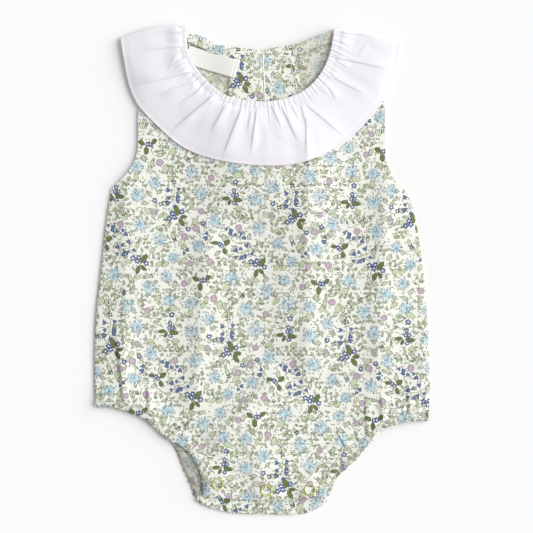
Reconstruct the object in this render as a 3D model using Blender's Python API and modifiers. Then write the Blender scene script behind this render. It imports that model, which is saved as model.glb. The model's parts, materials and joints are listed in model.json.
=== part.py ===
"""A baby's sleeveless romper bodysuit with a gathered collar ruffle, laid flat on its back.

Metres, +Z up. The garment lies on the plane z = 0 with its front upwards: +X is the right
of the laid-out garment, +Y points to its neck, and the origin is under its middle.

Every cloth piece is a wall between two height fields over its flat outline, so walls that
lie on each other never cross. Sizes and tables are in millimetres; MM turns them to metres.
"""

from collections import namedtuple

import bmesh
import bpy
import numpy as np
from mathutils import Vector, geometry

# ------------------------------------------------------------------ driving sizes, mm
MM = 0.001
WALL = 1.0               # one layer of cloth
GAP = 0.3                # between pieces that touch
LAYER = WALL + GAP       # from one layer's underside to the next one's

NECK_CASING_WIDTH = 5.0
NECK_CASING_HEIGHT = 2.2
LEG_CASING_WIDTH = 6.5
LEG_CASING_HEIGHT = 2.0
NECK_GATHERS = 48        # fine gathers in the front half of the neck
RUFFLE_PLEATS = 20       # the soft pleats that they run into
BACK_RUFFLE_PLEATS = 9   # on each half of the back
LEG_GATHERS = 22         # in each half of a leg opening

RUFFLE_BACK_HEIGHT = 1.6
RUFFLE_LIFT = RUFFLE_BACK_HEIGHT + GAP   # of what lies on the back ruffle
CENTRE_BACK = 0.4        # x of the left back's edge
LAP_WIDTH = 16.0         # the left back over the right one
PLACKET_BOTTOM = 68.0    # y where the lap ends and the centre-back seam starts
BINDING_WIDTH = 9.0
FLAP_DROP = 2.4          # the front flap's lower edge bows down by this much
SHOULDER_RISE = 2.8      # the ruffle's shoulder fold bows up by this much

BAND_TOP = -168.0        # y where the folded band ends under the front flap
BAND_SEAM = -188.0       # y of the seam between the back and its band
BAND_INNER_LEFT = -48.0  # the band's turned-up layer is narrower
BAND_INNER_RIGHT = 47.6

RING_DIAMETER = 9.7
RING_WIRE = 1.7
STUD_DIAMETER = 9.0
STUD_HEIGHT = 1.2
BUTTON_DIAMETER = 10.0
BUTTON_HEIGHT = 1.0
BUTTON_X = CENTRE_BACK - LAP_WIDTH / 2
LABEL_LENGTH = 38.5
LABEL_WIDTH = 17.0
LABEL_TURN = -17.0       # degrees

PANEL_MESH = 13.0        # spacing of the points inside the panels
EDGE_MESH = 6.0          # spacing of the points on plain edges
FADE = 36.0              # width of the slope where a layer rises over another's edge
BAND_FADE = 16.0         # the same above the crotch band
LANDING = 6.0            # it is up by this much before that edge
EASE = 0.25              # room under the ruffle, whose mesh runs another way

# ------------------------------------------------------------------ outline tables, mm
Point = namedtuple("Point", "x y")
Crease = namedtuple("Crease", "x0 y0 x1 y1 depth width")
Bump = namedtuple("Bump", "x y lift flat fade")
Finish = namedtuple("Finish", "hex roughness")

NECK_FRONT = (
    Point(-62.3, 203.4), Point(-62.6, 190.0), Point(-58.4, 174.3), Point(-44.8, 156.4),
    Point(-27.0, 144.2), Point(4.0, 140.4), Point(29.5, 146.8), Point(45.7, 159.9),
    Point(55.9, 180.3), Point(59.6, 201.2),
)
NECK_BACK_LEFT = (
    Point(CENTRE_BACK, 183.0), Point(-17.8, 184.7), Point(-36.5, 188.4), Point(-52.3, 196.0),
    Point(-61.5, 199.0), Point(-67.0, 199.2),
)
NECK_BACK_RIGHT = (
    Point(CENTRE_BACK, 183.0), Point(13.3, 185.8), Point(29.4, 188.4), Point(45.2, 195.0),
    Point(57.5, 198.4), Point(64.5, 198.4),
)
RUFFLE_HEM = (
    Point(-117.9, 193.8), Point(-115.1, 176.0), Point(-110.9, 154.9), Point(-103.6, 138.4),
    Point(-88.0, 121.2), Point(-66.9, 103.3), Point(-41.5, 93.0), Point(-7.6, 87.6),
    Point(23.7, 88.0), Point(49.1, 95.6), Point(74.5, 111.7), Point(98.3, 138.0),
    Point(109.3, 160.0), Point(115.2, 190.6),
)
SHOULDER_LEFT = (Point(-67.0, 199.2), Point(-81.0, 197.8), Point(-98.0, 192.5))
ARMHOLE_LEFT = (
    Point(-98.0, 192.5), Point(-101.0, 160.0), Point(-102.9, 125.3), Point(-103.8, 98.2),
    Point(-110.6, 83.0), Point(-125.4, 68.0),
)
SIDE_LEFT = (
    Point(-125.4, 68.0), Point(-129.2, 44.8), Point(-133.6, 6.6), Point(-138.6, -40.7),
    Point(-139.4, -90.5), Point(-138.0, -112.8),
)
SHOULDER_RIGHT = (Point(64.5, 198.4), Point(77.0, 196.6), Point(96.0, 190.5))
ARMHOLE_RIGHT = (
    Point(96.0, 190.5), Point(100.5, 160.0), Point(102.4, 125.3), Point(102.9, 93.1),
    Point(110.4, 75.5), Point(123.0, 61.8),
)
SIDE_RIGHT = (
    Point(123.0, 61.8), Point(130.8, 24.1), Point(136.1, -20.8), Point(139.2, -75.0),
    Point(139.4, -98.0), Point(138.0, -124.5),
)
# The leg hems run from the side seams to the crotch.
HEM_FRONT_LEFT = (
    Point(-138.0, -112.8), Point(-127.8, -112.8), Point(-118.4, -115.1), Point(-98.8, -122.6),
    Point(-80.3, -138.2), Point(-63.5, -148.4), Point(-56.7, -156.2), Point(-52.0, -164.5),
    Point(-49.4, -175.0), Point(-49.0, -187.6),
)
HEM_FRONT_RIGHT = (
    Point(138.0, -124.5), Point(124.5, -124.5), Point(102.1, -130.6), Point(92.1, -140.6),
    Point(75.2, -151.1), Point(65.8, -161.6), Point(57.4, -172.6), Point(53.8, -180.9),
    Point(53.2, -187.6),
)
HEM_BACK_LEFT = (
    Point(-137.2, -111.8), Point(-127.8, -111.8), Point(-118.2, -114.1), Point(-98.4, -121.4),
    Point(-80.5, -137.0), Point(-71.6, -149.5), Point(-66.4, -161.9), Point(-60.6, -175.0),
    Point(-56.0, -187.7),
)
HEM_BACK_RIGHT = (
    Point(137.2, -123.5), Point(124.5, -123.5), Point(101.6, -129.6), Point(91.0, -141.0),
    Point(78.5, -156.0), Point(61.8, -172.4), Point(57.8, -180.7), Point(54.9, -187.7),
)
BAND_FOLD = (
    Point(-55.0, -192.4), Point(-47.0, -195.6), Point(-33.5, -199.8), Point(-22.0, -201.7),
    Point(5.0, -202.4), Point(27.0, -202.6), Point(43.5, -199.2), Point(53.8, -192.6),
)
FACING_EDGE_LEFT = (Point(-25.0, 176.5), Point(-28.5, 150.0), Point(-30.0, PLACKET_BOTTOM))
FACING_EDGE_RIGHT = (Point(25.5, 178.0), Point(32.0, 150.0), Point(33.5, PLACKET_BOTTOM))
BACK_RUFFLE_NECK_LEFT = (
    Point(-19.0, 183.4), Point(-36.5, 187.2), Point(-52.3, 194.8), Point(-62.4, 201.7),
)
BACK_RUFFLE_NECK_RIGHT = (
    Point(59.6, 201.2), Point(45.2, 193.8), Point(29.4, 187.2), Point(3.0, 182.2),
)

SNAPS = (Point(-36.6, -176.5), Point(3.7, -182.2), Point(39.7, -181.0))
BUTTON_ROWS = (171.0, 120.0, 82.0)
LABEL_CORNER = Point(-59.8, 184.6)

# What lies under the front near the neck and lifts it there.
UNDER_NECK = (
    Bump(-61.0, 180.0, LAYER, 8.0, 22.0),
    Bump(-62.0, 197.0, LAYER, 8.0, 20.0),
    Bump(59.5, 197.0, LAYER, 8.0, 20.0),
)

# The largest creases of the front ruffle, from the neck towards its hem.
RUFFLE_CREASES = (
    Crease(-60.0, 160.0, -105.0, 153.6, 1.5, 3.4),
    Crease(-55.9, 156.6, -83.8, 149.4, 1.1, 2.6),
    Crease(-41.5, 142.2, -77.0, 116.8, 1.6, 2.8),
    Crease(-29.6, 137.1, -42.5, 115.6, 1.1, 2.4),
    Crease(-16.9, 131.1, -32.6, 92.6, 1.6, 2.8),
    Crease(-2.5, 136.3, -8.0, 93.6, 1.3, 2.6),
    Crease(7.6, 136.3, 15.0, 118.0, 1.0, 2.4),
    Crease(16.9, 134.5, 30.0, 104.8, 1.5, 2.8),
    Crease(32.2, 138.8, 36.2, 92.8, 1.5, 2.8),
    Crease(41.5, 138.8, 68.6, 111.8, 1.1, 2.6),
    Crease(58.0, 159.0, 88.0, 144.8, 1.0, 2.6),
    Crease(61.8, 176.9, 109.0, 167.4, 1.4, 2.8),
    Crease(64.0, 196.4, 90.0, 196.6, 0.9, 2.4),
)

# Soft folds that rise from the leg hems into the front.
LEG_FOLDS = (
    Crease(-133.0, -106.0, -131.5, -84.0, 1.3, 3.6),
    Crease(-121.0, -107.0, -116.5, -60.0, 1.9, 3.8),
    Crease(-110.0, -112.0, -106.0, -88.0, 1.2, 3.6),
    Crease(-97.0, -117.0, -94.5, -94.0, 1.7, 3.4),
    Crease(-84.0, -128.0, -76.0, -104.0, 1.1, 3.8),
    Crease(-68.0, -140.0, -56.0, -116.0, 1.1, 4.0),
    Crease(-50.0, -157.0, -34.0, -142.0, 0.9, 4.0),
    Crease(132.5, -118.0, 130.0, -90.0, 1.3, 3.4),
    Crease(121.0, -118.0, 118.0, -84.0, 1.6, 3.6),
    Crease(109.5, -123.0, 106.5, -97.0, 1.8, 3.2),
    Crease(100.0, -126.0, 97.5, -99.0, 1.7, 3.2),
    Crease(88.0, -138.0, 81.0, -112.0, 1.2, 3.8),
    Crease(72.0, -148.0, 60.0, -125.0, 1.1, 4.0),
    Crease(56.0, -162.0, 42.0, -146.0, 0.9, 4.0),
)

PRINTED_COTTON = Finish("DDE0D0", 0.85)
WHITE_COTTON = Finish("EFEDF2", 0.85)
WOVEN_LABEL = Finish("F1EFE4", 0.8)
SNAP_LACQUER = Finish("E4EFB0", 0.35)
BUTTON_RESIN = Finish("EDEBE0", 0.4)


# ------------------------------------------------------------------ runs of points
def smooth_run(points, step=1.0):
    """A smooth run through a table's points, as points about step mm apart."""
    knots = np.array(points, dtype=float)
    ends = np.vstack([2 * knots[0] - knots[1], knots, 2 * knots[-1] - knots[-2]])
    t = np.linspace(0.0, 1.0, 24, endpoint=False)[:, None]
    spans = []
    for before, start, end, after in zip(ends, ends[1:], ends[2:], ends[3:]):
        length = np.linalg.norm(end - start)
        leave = (end - before) / np.linalg.norm(end - before) * length
        arrive = (after - start) / np.linalg.norm(after - start) * length
        spans.append((2 * t**3 - 3 * t**2 + 1) * start + (t**3 - 2 * t**2 + t) * leave
                     + (3 * t**2 - 2 * t**3) * end + (t**3 - t**2) * arrive)
    fine = np.vstack(spans + [knots[-1:]])
    length = np.linalg.norm(np.diff(fine, axis=0), axis=1).sum()
    return along(fine, np.linspace(0.0, 1.0, max(2, round(length / step) + 1)))


def along(run, fractions):
    """Points at these fractions of a run's length."""
    steps = np.linalg.norm(np.diff(run, axis=0), axis=1)
    done = np.concatenate([[0.0], np.cumsum(steps)]) / steps.sum()
    return np.column_stack([np.interp(fractions, done, run[:, k]) for k in (0, 1)])


def sideways(run, distance):
    """The run moved to the left of its own direction."""
    tangent = np.gradient(run, axis=0)
    tangent /= np.linalg.norm(tangent, axis=1)[:, None]
    return run + distance * np.column_stack([-tangent[:, 1], tangent[:, 0]])


def run_coordinates(run, x, y):
    """How far along a run (0 to 1) and how far from it each point lies."""
    start = run[:-1]
    step = np.diff(run, axis=0)
    size = np.linalg.norm(step, axis=1)
    done = np.concatenate([[0.0], np.cumsum(size)])
    offset = np.stack([x[:, None] - start[:, 0], y[:, None] - start[:, 1]], axis=2)
    t = np.clip((offset * step).sum(axis=2) / size**2, 0.0, 1.0)
    apart = np.linalg.norm(offset - t[:, :, None] * step, axis=2)
    nearest = apart.argmin(axis=1)
    rows = np.arange(len(x))
    return (done[nearest] + t[rows, nearest] * size[nearest]) / done[-1], apart[rows, nearest]


def outline_of(*runs):
    """Joins runs end to end into one closed outline, without doubled points."""
    joined = np.vstack(runs)
    apart = np.linalg.norm(joined - np.roll(joined, 1, axis=0), axis=1)
    return joined[apart > 0.05]


def gather_phase(s, count):
    """Gathers of uneven width: how many lie before the fraction s."""
    return count * (s + 0.008 * np.sin(4 * np.pi * s) + 0.004 * np.sin(12 * np.pi * s))


def gather_places(count, each=2):
    """Fractions of the hollows and crests, each steps for a gather."""
    s = np.linspace(0.0, 1.0, 2001)
    return np.interp(np.arange(each * count + 1) / each, gather_phase(s, count), s)


def gather_wave(s, count):
    """0 in the hollows and up to 1 on the crests, some crests lower than others."""
    phase = gather_phase(s, count)
    swell = 0.75 + 0.25 * np.sin(0.73 * phase + 0.6 * np.sin(1.9 * phase))
    return (0.5 - 0.5 * np.cos(2 * np.pi * phase)) * swell


# ------------------------------------------------------------------ heights, mm
def ramp(t, low, high):
    """0 at low, 1 at high, smooth between; high may be the smaller one."""
    t = np.clip((t - low) / (high - low), 0.0, 1.0)
    return t * t * (3 - 2 * t)


def over(t, edge):
    """1 from a little before an edge onwards, fading out below it."""
    return ramp(t, edge - LANDING - FADE, edge - LANDING)


def bumps(rows, x, y):
    height = np.zeros_like(x)
    for b in rows:
        height = np.maximum(height, b.lift * ramp(np.hypot(x - b.x, y - b.y), b.fade, b.flat))
    return height


def ridges(rows, x, y):
    """Soft ridges along the creases' lines, dying out towards their ends."""
    height = np.zeros_like(x)
    for c in rows:
        length = np.hypot(c.x1 - c.x0, c.y1 - c.y0)
        ux, uy = (c.x1 - c.x0) / length, (c.y1 - c.y0) / length
        s = ((x - c.x0) * ux + (y - c.y0) * uy) / length
        beside = (x - c.x0) * uy - (y - c.y0) * ux
        run = ramp(s, -0.15, 0.15) * ramp(s, 1.05, 0.45)
        height += c.depth * run * np.exp(-(beside / c.width)**2)
    return height


def back_ruffle_hem(x):
    """y of the hem of the ruffle that lies under the back."""
    return 131.0 + 62.0 * (np.abs(x) / 117.0)**2.2


def back_floor(x, y):
    """Underside of the right back: over the back ruffle and the row of buttons."""
    reach = BUTTON_DIAMETER / 2
    stand = over(x, BUTTON_X - reach) * over(-x, -BUTTON_X - reach)
    stand = (BUTTON_HEIGHT + GAP) * stand * over(y, BUTTON_ROWS[-1] - reach)
    return np.maximum(RUFFLE_LIFT * over(y, back_ruffle_hem(x)), stand)


def lap(x, y):
    """1 where the left back lies on the right one."""
    return over(x, CENTRE_BACK - LAP_WIDTH) * over(y, PLACKET_BOTTOM)


def back_left_floor(x, y):
    return back_floor(x, y) + LAYER * lap(x, y)


def front_floor(x, y):
    """Where the front lies: on the back and on what is sewn to it."""
    facings = over(x, FACING_EDGE_LEFT[-1].x) * over(-x, -FACING_EDGE_RIGHT[-1].x)
    left_lap = lap(x, y) * over(-x, -CENTRE_BACK)
    snaps = [Bump(p.x, p.y, STUD_HEIGHT + GAP, 6.4, 15.0) for p in SNAPS]
    return (LAYER + back_floor(x, y) + LAYER * facings * over(y, PLACKET_BOTTOM)
            + LAYER * left_lap + bumps(UNDER_NECK, x, y)
            + LAYER * ramp(y, BAND_TOP + BAND_FADE, BAND_TOP + 1.0) + bumps(snaps, x, y))


def beside_snaps(x, y):
    """0 around the snaps, which press the cloth flat."""
    return 1.0 - bumps([Bump(p.x, p.y, 1.0, 6.4, 11.0) for p in SNAPS], x, y)


def front_lift(x, y):
    """The front's leg hems lie on the back's, which are thicker than its panels."""
    height = np.zeros_like(x)
    for hem in (FRONT_HEM_LEFT, FRONT_HEM_RIGHT):
        _, apart = run_coordinates(hem, x, y)
        height = np.maximum(height, ramp(apart, 28.0, LEG_CASING_WIDTH + 3.0))
    height *= ramp(y, -176.0, -160.0) * beside_snaps(x, y)
    return (LEG_CASING_HEIGHT - WALL) * height


def front_folds(x, y):
    """Gathers that the leg hems send into the front, and its larger folds."""
    height = ridges(LEG_FOLDS, x, y)
    for hem in (FRONT_HEM_LEFT, FRONT_HEM_RIGHT):
        s, apart = run_coordinates(hem, x, y)
        height += 0.8 * gather_wave(s, LEG_GATHERS) * ramp(apart, 22.0, LEG_CASING_WIDTH)
    return height * beside_snaps(x, y)


def front_underside(x, y):
    return front_floor(x, y) + front_lift(x, y) + front_folds(x, y)


def armhole_reach(y):
    """Half width of the body beside the armholes."""
    return np.interp(y, [90.0, 125.0, 160.0, 196.0], [104.0, 103.2, 101.3, 98.0])


def ruffle_floor(x, y):
    """Where the front ruffle lies: on the front, and lower beside the armholes."""
    beside = ramp(np.abs(x) - armhole_reach(y), 5.0, 15.0) * ramp(y, 88.0, 104.0)
    on_front = front_floor(x, y) + LAYER + EASE
    return on_front + (RUFFLE_LIFT + EASE - on_front) * beside


def ruffle_rise(x, y, u, v):
    """The ruffle's pleats: fine at the neck, soft further out, nearly flat at the hem."""
    fine = 0.55 * gather_wave(u, NECK_GATHERS) * ramp(v, 0.4, 0.0)
    soft = gather_wave(u + 0.004 * np.sin(9 * v), RUFFLE_PLEATS)
    soft = soft * (0.2 + 0.9 * ramp(v, 0.0, 0.25) * ramp(v, 1.1, 0.55))
    return fine + soft + ridges(RUFFLE_CREASES, x, y)


# ------------------------------------------------------------------ objects
def material(name, finish):
    made = bpy.data.materials.new(name)
    made.use_nodes = True
    shader = made.node_tree.nodes["Principled BSDF"]
    rgb = [int(finish.hex[k:k + 2], 16) / 255.0 for k in (0, 2, 4)]
    linear = [c / 12.92 if c <= 0.04045 else ((c + 0.055) / 1.055)**2.4 for c in rgb]
    shader.inputs["Base Color"].default_value = (*linear, 1.0)
    shader.inputs["Roughness"].default_value = finish.roughness
    shader.inputs["Metallic"].default_value = 0.0
    return made


def add_object(name, shape, finish):
    """Links a shape made in millimetres as one named object in metres."""
    bmesh.ops.scale(shape, vec=(MM, MM, MM), verts=shape.verts[:])
    bmesh.ops.recalc_face_normals(shape, faces=shape.faces[:])
    mesh = bpy.data.meshes.new(name)
    shape.to_mesh(mesh)
    shape.free()
    mesh.shade_smooth()
    mesh.set_sharp_from_angle(angle=np.radians(50.0))
    mesh.materials.append(material(name, finish))
    made = bpy.data.objects.new(name, mesh)
    GARMENT.objects.link(made)
    return made


def raise_wall(sheet, underside, top):
    """Turns a flat sheet into a closed wall; both surfaces take the sheet's own x and y."""
    lower = sheet.verts[:]
    grown = bmesh.ops.extrude_face_region(sheet, geom=sheet.faces[:])["geom"]
    upper = [part for part in grown if isinstance(part, bmesh.types.BMVert)]
    for verts, surface in ((lower, underside), (upper, top)):
        flat = np.array([vert.co[:2] for vert in verts])
        for vert, place in zip(verts, np.column_stack(surface(flat[:, 0], flat[:, 1]))):
            vert.co = place


def lattice(spacing):
    """Evenly spread points, on the same places for every panel so that layers match."""
    rows = np.arange(-210.0, 210.0, spacing * 0.866)
    return np.array([(x + (k % 2) * spacing / 2, y) for k, y in enumerate(rows)
                     for x in np.arange(-150.0, 150.0, spacing)])


def panel(name, outline, underside, finish, extra=()):
    """A cut panel: its outline filled with even triangles, then raised to a wall."""
    inner = lattice(PANEL_MESH)
    room = np.full(len(inner), 0.5 * PANEL_MESH)
    if len(extra):
        apart = np.linalg.norm(inner[:, None] - np.array(extra)[None], axis=2).min(axis=1)
        inner = inner[apart > 0.55 * PANEL_MESH]
        room = np.append(np.full(len(inner), 0.5 * PANEL_MESH), np.full(len(extra), 1.6))
        inner = np.vstack([inner, extra])
    closed = np.vstack([outline, outline[:1]])
    _, from_edge = run_coordinates(closed, *inner.T)
    points = np.vstack([outline, inner[from_edge > room]])
    border = list(range(len(outline)))
    verts, _, faces, *_ = geometry.delaunay_2d_cdt(
        [Vector(point) for point in points], [], [border], 1, 1e-4)
    sheet = bmesh.new()
    made = [sheet.verts.new((*vert, 0.0)) for vert in verts]
    for face in faces:
        sheet.faces.new([made[k] for k in face])
    loose = [vert for vert in sheet.verts if not vert.link_faces]
    bmesh.ops.delete(sheet, geom=loose, context="VERTS")
    raise_wall(sheet, lambda x, y: (x, y, underside(x, y)),
               lambda x, y: (x, y, underside(x, y) + WALL))
    return add_object(name, sheet, finish)


def strip(name, columns, fractions, place, underside, top, finish):
    """A strip laid along a seam: u runs 0 to 1 along it and v through the fractions."""
    sheet = bmesh.new()
    bmesh.ops.create_grid(sheet, x_segments=columns, y_segments=len(fractions) - 1, size=0.5)

    def surface(height):
        def laid(a, b):
            u = a + 0.5
            v = np.interp(b + 0.5, np.linspace(0.0, 1.0, len(fractions)), fractions)
            x, y = place(u, v)
            return x, y, height(x, y, u, v)
        return laid

    raise_wall(sheet, surface(underside), surface(top))
    return add_object(name, sheet, finish)


def between(inner, outer):
    """Places a strip's points on straight lines between two runs with equal counts."""
    def place(u, v):
        column = np.rint(u * (len(inner) - 1)).astype(int)
        point = inner[column] * (1 - v)[:, None] + outer[column] * v[:, None]
        return point[:, 0], point[:, 1]
    return place


def disc(name, centre, diameter, low, height, finish):
    """A flat round fastener with a rounded rim."""
    shape = bmesh.new()
    bmesh.ops.create_cone(shape, cap_ends=True, segments=20, radius1=diameter / 2,
                          radius2=diameter / 2, depth=height)
    bmesh.ops.translate(shape, vec=(centre.x, centre.y, low + height / 2),
                        verts=shape.verts[:])
    made = add_object(name, shape, finish)
    rim = made.modifiers.new("rim", "BEVEL")
    rim.width = 0.25 * MM
    rim.segments = 1
    return made


def rings_of_points(centre, *radii):
    """A centre point and rings round it, to shape a panel over a fastener."""
    points = [(centre.x, centre.y)]
    for radius in radii:
        turns = np.linspace(0.0, 2 * np.pi, 9)[:-1] + radius
        points += [(centre.x + radius * np.cos(a), centre.y + radius * np.sin(a))
                   for a in turns]
    return points


# ------------------------------------------------------------------ sewn edges, mm
NECK = smooth_run(NECK_FRONT)
BACK_NECK_LEFT = smooth_run(NECK_BACK_LEFT)
BACK_NECK_RIGHT = smooth_run(NECK_BACK_RIGHT)
# Every leg hem runs from left to right, so that its left side is the inside of the cloth.
FRONT_HEM_LEFT = smooth_run(HEM_FRONT_LEFT)
FRONT_HEM_RIGHT = smooth_run(HEM_FRONT_RIGHT)[::-1]
BACK_HEM_LEFT = smooth_run(HEM_BACK_LEFT)
BACK_HEM_RIGHT = smooth_run(HEM_BACK_RIGHT)[::-1]


def beside_casing(hem):
    """A panel's edge beside its leg casing, with a point at each hollow and crest."""
    return along(sideways(hem, LEG_CASING_WIDTH + GAP), gather_places(LEG_GATHERS))


def behind_casing(hem):
    """Points behind a leg hem that carry its gathers into the front."""
    near = along(sideways(hem, 11.0), gather_places(LEG_GATHERS)[1:-1])
    far = along(sideways(hem, 16.5), gather_places(LEG_GATHERS)[2:-2:2])
    return [*near, *far]


def edge_run(points):
    return smooth_run(points, EDGE_MESH)


def side_edge(shoulder, armhole, side, casing_end):
    """From the shoulder down the armhole and the side seam to the leg casing."""
    seam = edge_run(side)
    seam = seam[seam[:, 1] > casing_end[1] + 2.0]
    return np.vstack([edge_run(shoulder), edge_run(armhole), seam])


def level_run(x0, x1, y, drop=0.0):
    """A level edge that bows down in its middle."""
    t = np.linspace(0.0, 1.0, max(2, round(abs(x1 - x0) / EDGE_MESH) + 1))
    return np.column_stack([x0 + (x1 - x0) * t, y - drop * np.sin(np.pi * t)])


# ------------------------------------------------------------------ the pieces
def make_front():
    """The front panel and its two leg casings."""
    left = beside_casing(FRONT_HEM_LEFT)
    right = beside_casing(FRONT_HEM_RIGHT)
    neck = sideways(smooth_run(NECK_FRONT, 4.0), -NECK_CASING_WIDTH - GAP)
    neck = neck[neck[:, 1] < 197.0]
    flap = level_run(left[-1][0], right[0][0], HEM_FRONT_LEFT[-1].y, FLAP_DROP)
    outline = outline_of(
        side_edge(SHOULDER_LEFT, ARMHOLE_LEFT, SIDE_LEFT, left[0])[1:], left, flap, right,
        side_edge(SHOULDER_RIGHT, ARMHOLE_RIGHT, SIDE_RIGHT, right[-1])[:0:-1], neck[::-1])
    over_snaps = [point for snap in SNAPS for point in rings_of_points(snap, 6.2, 11.0)]
    extra = [*behind_casing(FRONT_HEM_LEFT), *behind_casing(FRONT_HEM_RIGHT), *over_snaps]
    panel("front_panel", outline, front_underside, PRINTED_COTTON, extra)
    for side, hem in (("left", FRONT_HEM_LEFT), ("right", FRONT_HEM_RIGHT)):
        leg_casing(f"leg_casing_front_{side}", hem, lambda x, y: front_floor(x, y)
                   + front_lift(x, y))


def leg_casing(name, hem, underside):
    """A leg hem turned over its elastic: a thicker strip, gathered all along."""
    places = gather_places(LEG_GATHERS)
    inner = along(sideways(hem, LEG_CASING_WIDTH), places)
    inner[:, 1] = np.maximum(inner[:, 1], hem[:, 1].min())
    place = between(along(hem, places), inner)

    def top(x, y, u, v):
        fullness = 0.25 * np.sin(np.pi * v) + 0.65 * gather_wave(u, LEG_GATHERS)
        return underside(x, y) + LEG_CASING_HEIGHT - 0.9 + fullness

    strip(name, 2 * LEG_GATHERS, (0.0, 0.5, 1.0), place,
          lambda x, y, u, v: underside(x, y), top, PRINTED_COTTON)


def make_back():
    """The two halves of the back, with their leg casings."""
    left = beside_casing(BACK_HEM_LEFT)
    right = beside_casing(BACK_HEM_RIGHT)
    bottom = HEM_BACK_LEFT[-1].y
    left_seam = level_run(left[-1][0] + EDGE_MESH, CENTRE_BACK, bottom)
    left_centre = np.array([(CENTRE_BACK, y) for y in np.arange(bottom, 183.0, 9.0)])
    outline = outline_of(
        edge_run(NECK_BACK_LEFT),
        side_edge(SHOULDER_LEFT, ARMHOLE_LEFT, SIDE_LEFT, left[0])[1:],
        left, left_seam, left_centre)
    panel("back_left", outline, back_left_floor, PRINTED_COTTON)

    seam_x = CENTRE_BACK + GAP
    edge_x = CENTRE_BACK - LAP_WIDTH
    right_seam = level_run(right[0][0] - EDGE_MESH, seam_x, bottom)
    right_centre = np.array([(seam_x, y) for y in np.arange(bottom, PLACKET_BOTTOM, 9.0)]
                            + [(seam_x, PLACKET_BOTTOM)])
    neck = edge_run(NECK_BACK_LEFT)
    neck = neck[neck[:, 0] > edge_x][::-1]
    lap_edge = np.array([(edge_x, y) for y in np.arange(PLACKET_BOTTOM, 184.0, 9.0)]
                        + [(edge_x, 184.4)])
    outline = outline_of(
        right_centre, lap_edge, neck, edge_run(NECK_BACK_RIGHT),
        side_edge(SHOULDER_RIGHT, ARMHOLE_RIGHT, SIDE_RIGHT, right[-1])[1:],
        right[::-1], right_seam)
    panel("back_right", outline, back_floor, PRINTED_COTTON)
    for side, hem in (("left", BACK_HEM_LEFT), ("right", BACK_HEM_RIGHT)):
        leg_casing(f"leg_casing_back_{side}", hem, lambda x, y: np.zeros_like(x))


def make_crotch_band():
    """The band on the back's lower end, folded up under the front flap."""
    half_fold = LAYER / 2
    fold = smooth_run(BAND_FOLD)
    turn = np.linspace(0.0, np.pi, 5)
    sheet = bmesh.new()
    bmesh.ops.create_grid(sheet, x_segments=14, y_segments=9, size=0.5)
    for vert in sheet.verts:
        across = vert.co.x + 0.5
        row = round((vert.co.y + 0.5) * 9)
        fold_x, fold_y = along(fold, [across])[0]
        seam_x = HEM_BACK_LEFT[-1].x + across * (HEM_BACK_RIGHT[-1].x - HEM_BACK_LEFT[-1].x)
        inner_x = BAND_INNER_LEFT + across * (BAND_INNER_RIGHT - BAND_INNER_LEFT)
        if row == 0:
            vert.co = (seam_x, BAND_SEAM, WALL / 2)
        elif row <= 5:
            angle = turn[row - 1]
            vert.co = (fold_x, fold_y + half_fold * (1 - np.sin(angle)),
                       WALL / 2 + half_fold * (1 - np.cos(angle)))
        else:
            height = (row - 6) / 3
            vert.co = (inner_x, BAND_SEAM + 1.0 + height * (BAND_TOP - BAND_SEAM - 1.0),
                       WALL / 2 + LAYER)
    made = add_object("back_crotch_band", sheet, PRINTED_COTTON)
    cloth = made.modifiers.new("cloth", "SOLIDIFY")
    cloth.thickness = WALL * MM
    cloth.offset = 0.0


def make_placket():
    """The facings of the centre-back opening and the buttons under it."""
    under_left = sideways(edge_run(NECK_BACK_LEFT), BINDING_WIDTH + GAP)
    under_right = sideways(edge_run(NECK_BACK_RIGHT), -BINDING_WIDTH - GAP)
    left_top = under_left[under_left[:, 0] > FACING_EDGE_LEFT[0].x + 1.5]
    right_top = under_right[under_right[:, 0] < FACING_EDGE_RIGHT[0].x - 1.5]
    left_top[0, 0] = CENTRE_BACK
    right_top[0, 0] = CENTRE_BACK + GAP
    edges = (("left", left_top, FACING_EDGE_LEFT, back_left_floor),
             ("right", right_top, FACING_EDGE_RIGHT, back_floor))
    for side, top, free_edge, floor in edges:
        free = edge_run(free_edge)
        bottom = level_run(free[-1][0], top[0][0], PLACKET_BOTTOM)
        centre = np.array([(top[0][0], y) for y in np.arange(PLACKET_BOTTOM, 172.0, 8.0)])
        panel(f"placket_facing_{side}", outline_of(top, free, bottom, centre),
              lambda x, y: floor(x, y) + LAYER, PRINTED_COTTON)
    for number, row in enumerate(BUTTON_ROWS, start=1):
        disc(f"back_button_{number}", Point(BUTTON_X, row), BUTTON_DIAMETER, 0.0,
             BUTTON_HEIGHT, BUTTON_RESIN)


def make_neck_bindings():
    """The narrow facing of the back neck edge, in two halves."""
    halves = (("left", BACK_NECK_LEFT, BINDING_WIDTH, back_left_floor),
              ("right", BACK_NECK_RIGHT, -BINDING_WIDTH, back_floor))
    for side, run, width, floor in halves:
        fractions = np.linspace(0.0, 1.0, 13)
        inner = along(sideways(run, width), fractions)
        outer = along(run, fractions)
        inner[0, 0] = outer[0, 0] = CENTRE_BACK + (GAP if side == "right" else 0.0)

        def low(x, y, u, v):
            return floor(x, y) + LAYER

        strip(f"neck_binding_{side}", 12, (0.0, 0.5, 1.0), between(outer, inner), low,
              lambda x, y, u, v: low(x, y, u, v) + WALL, PRINTED_COTTON)


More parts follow.
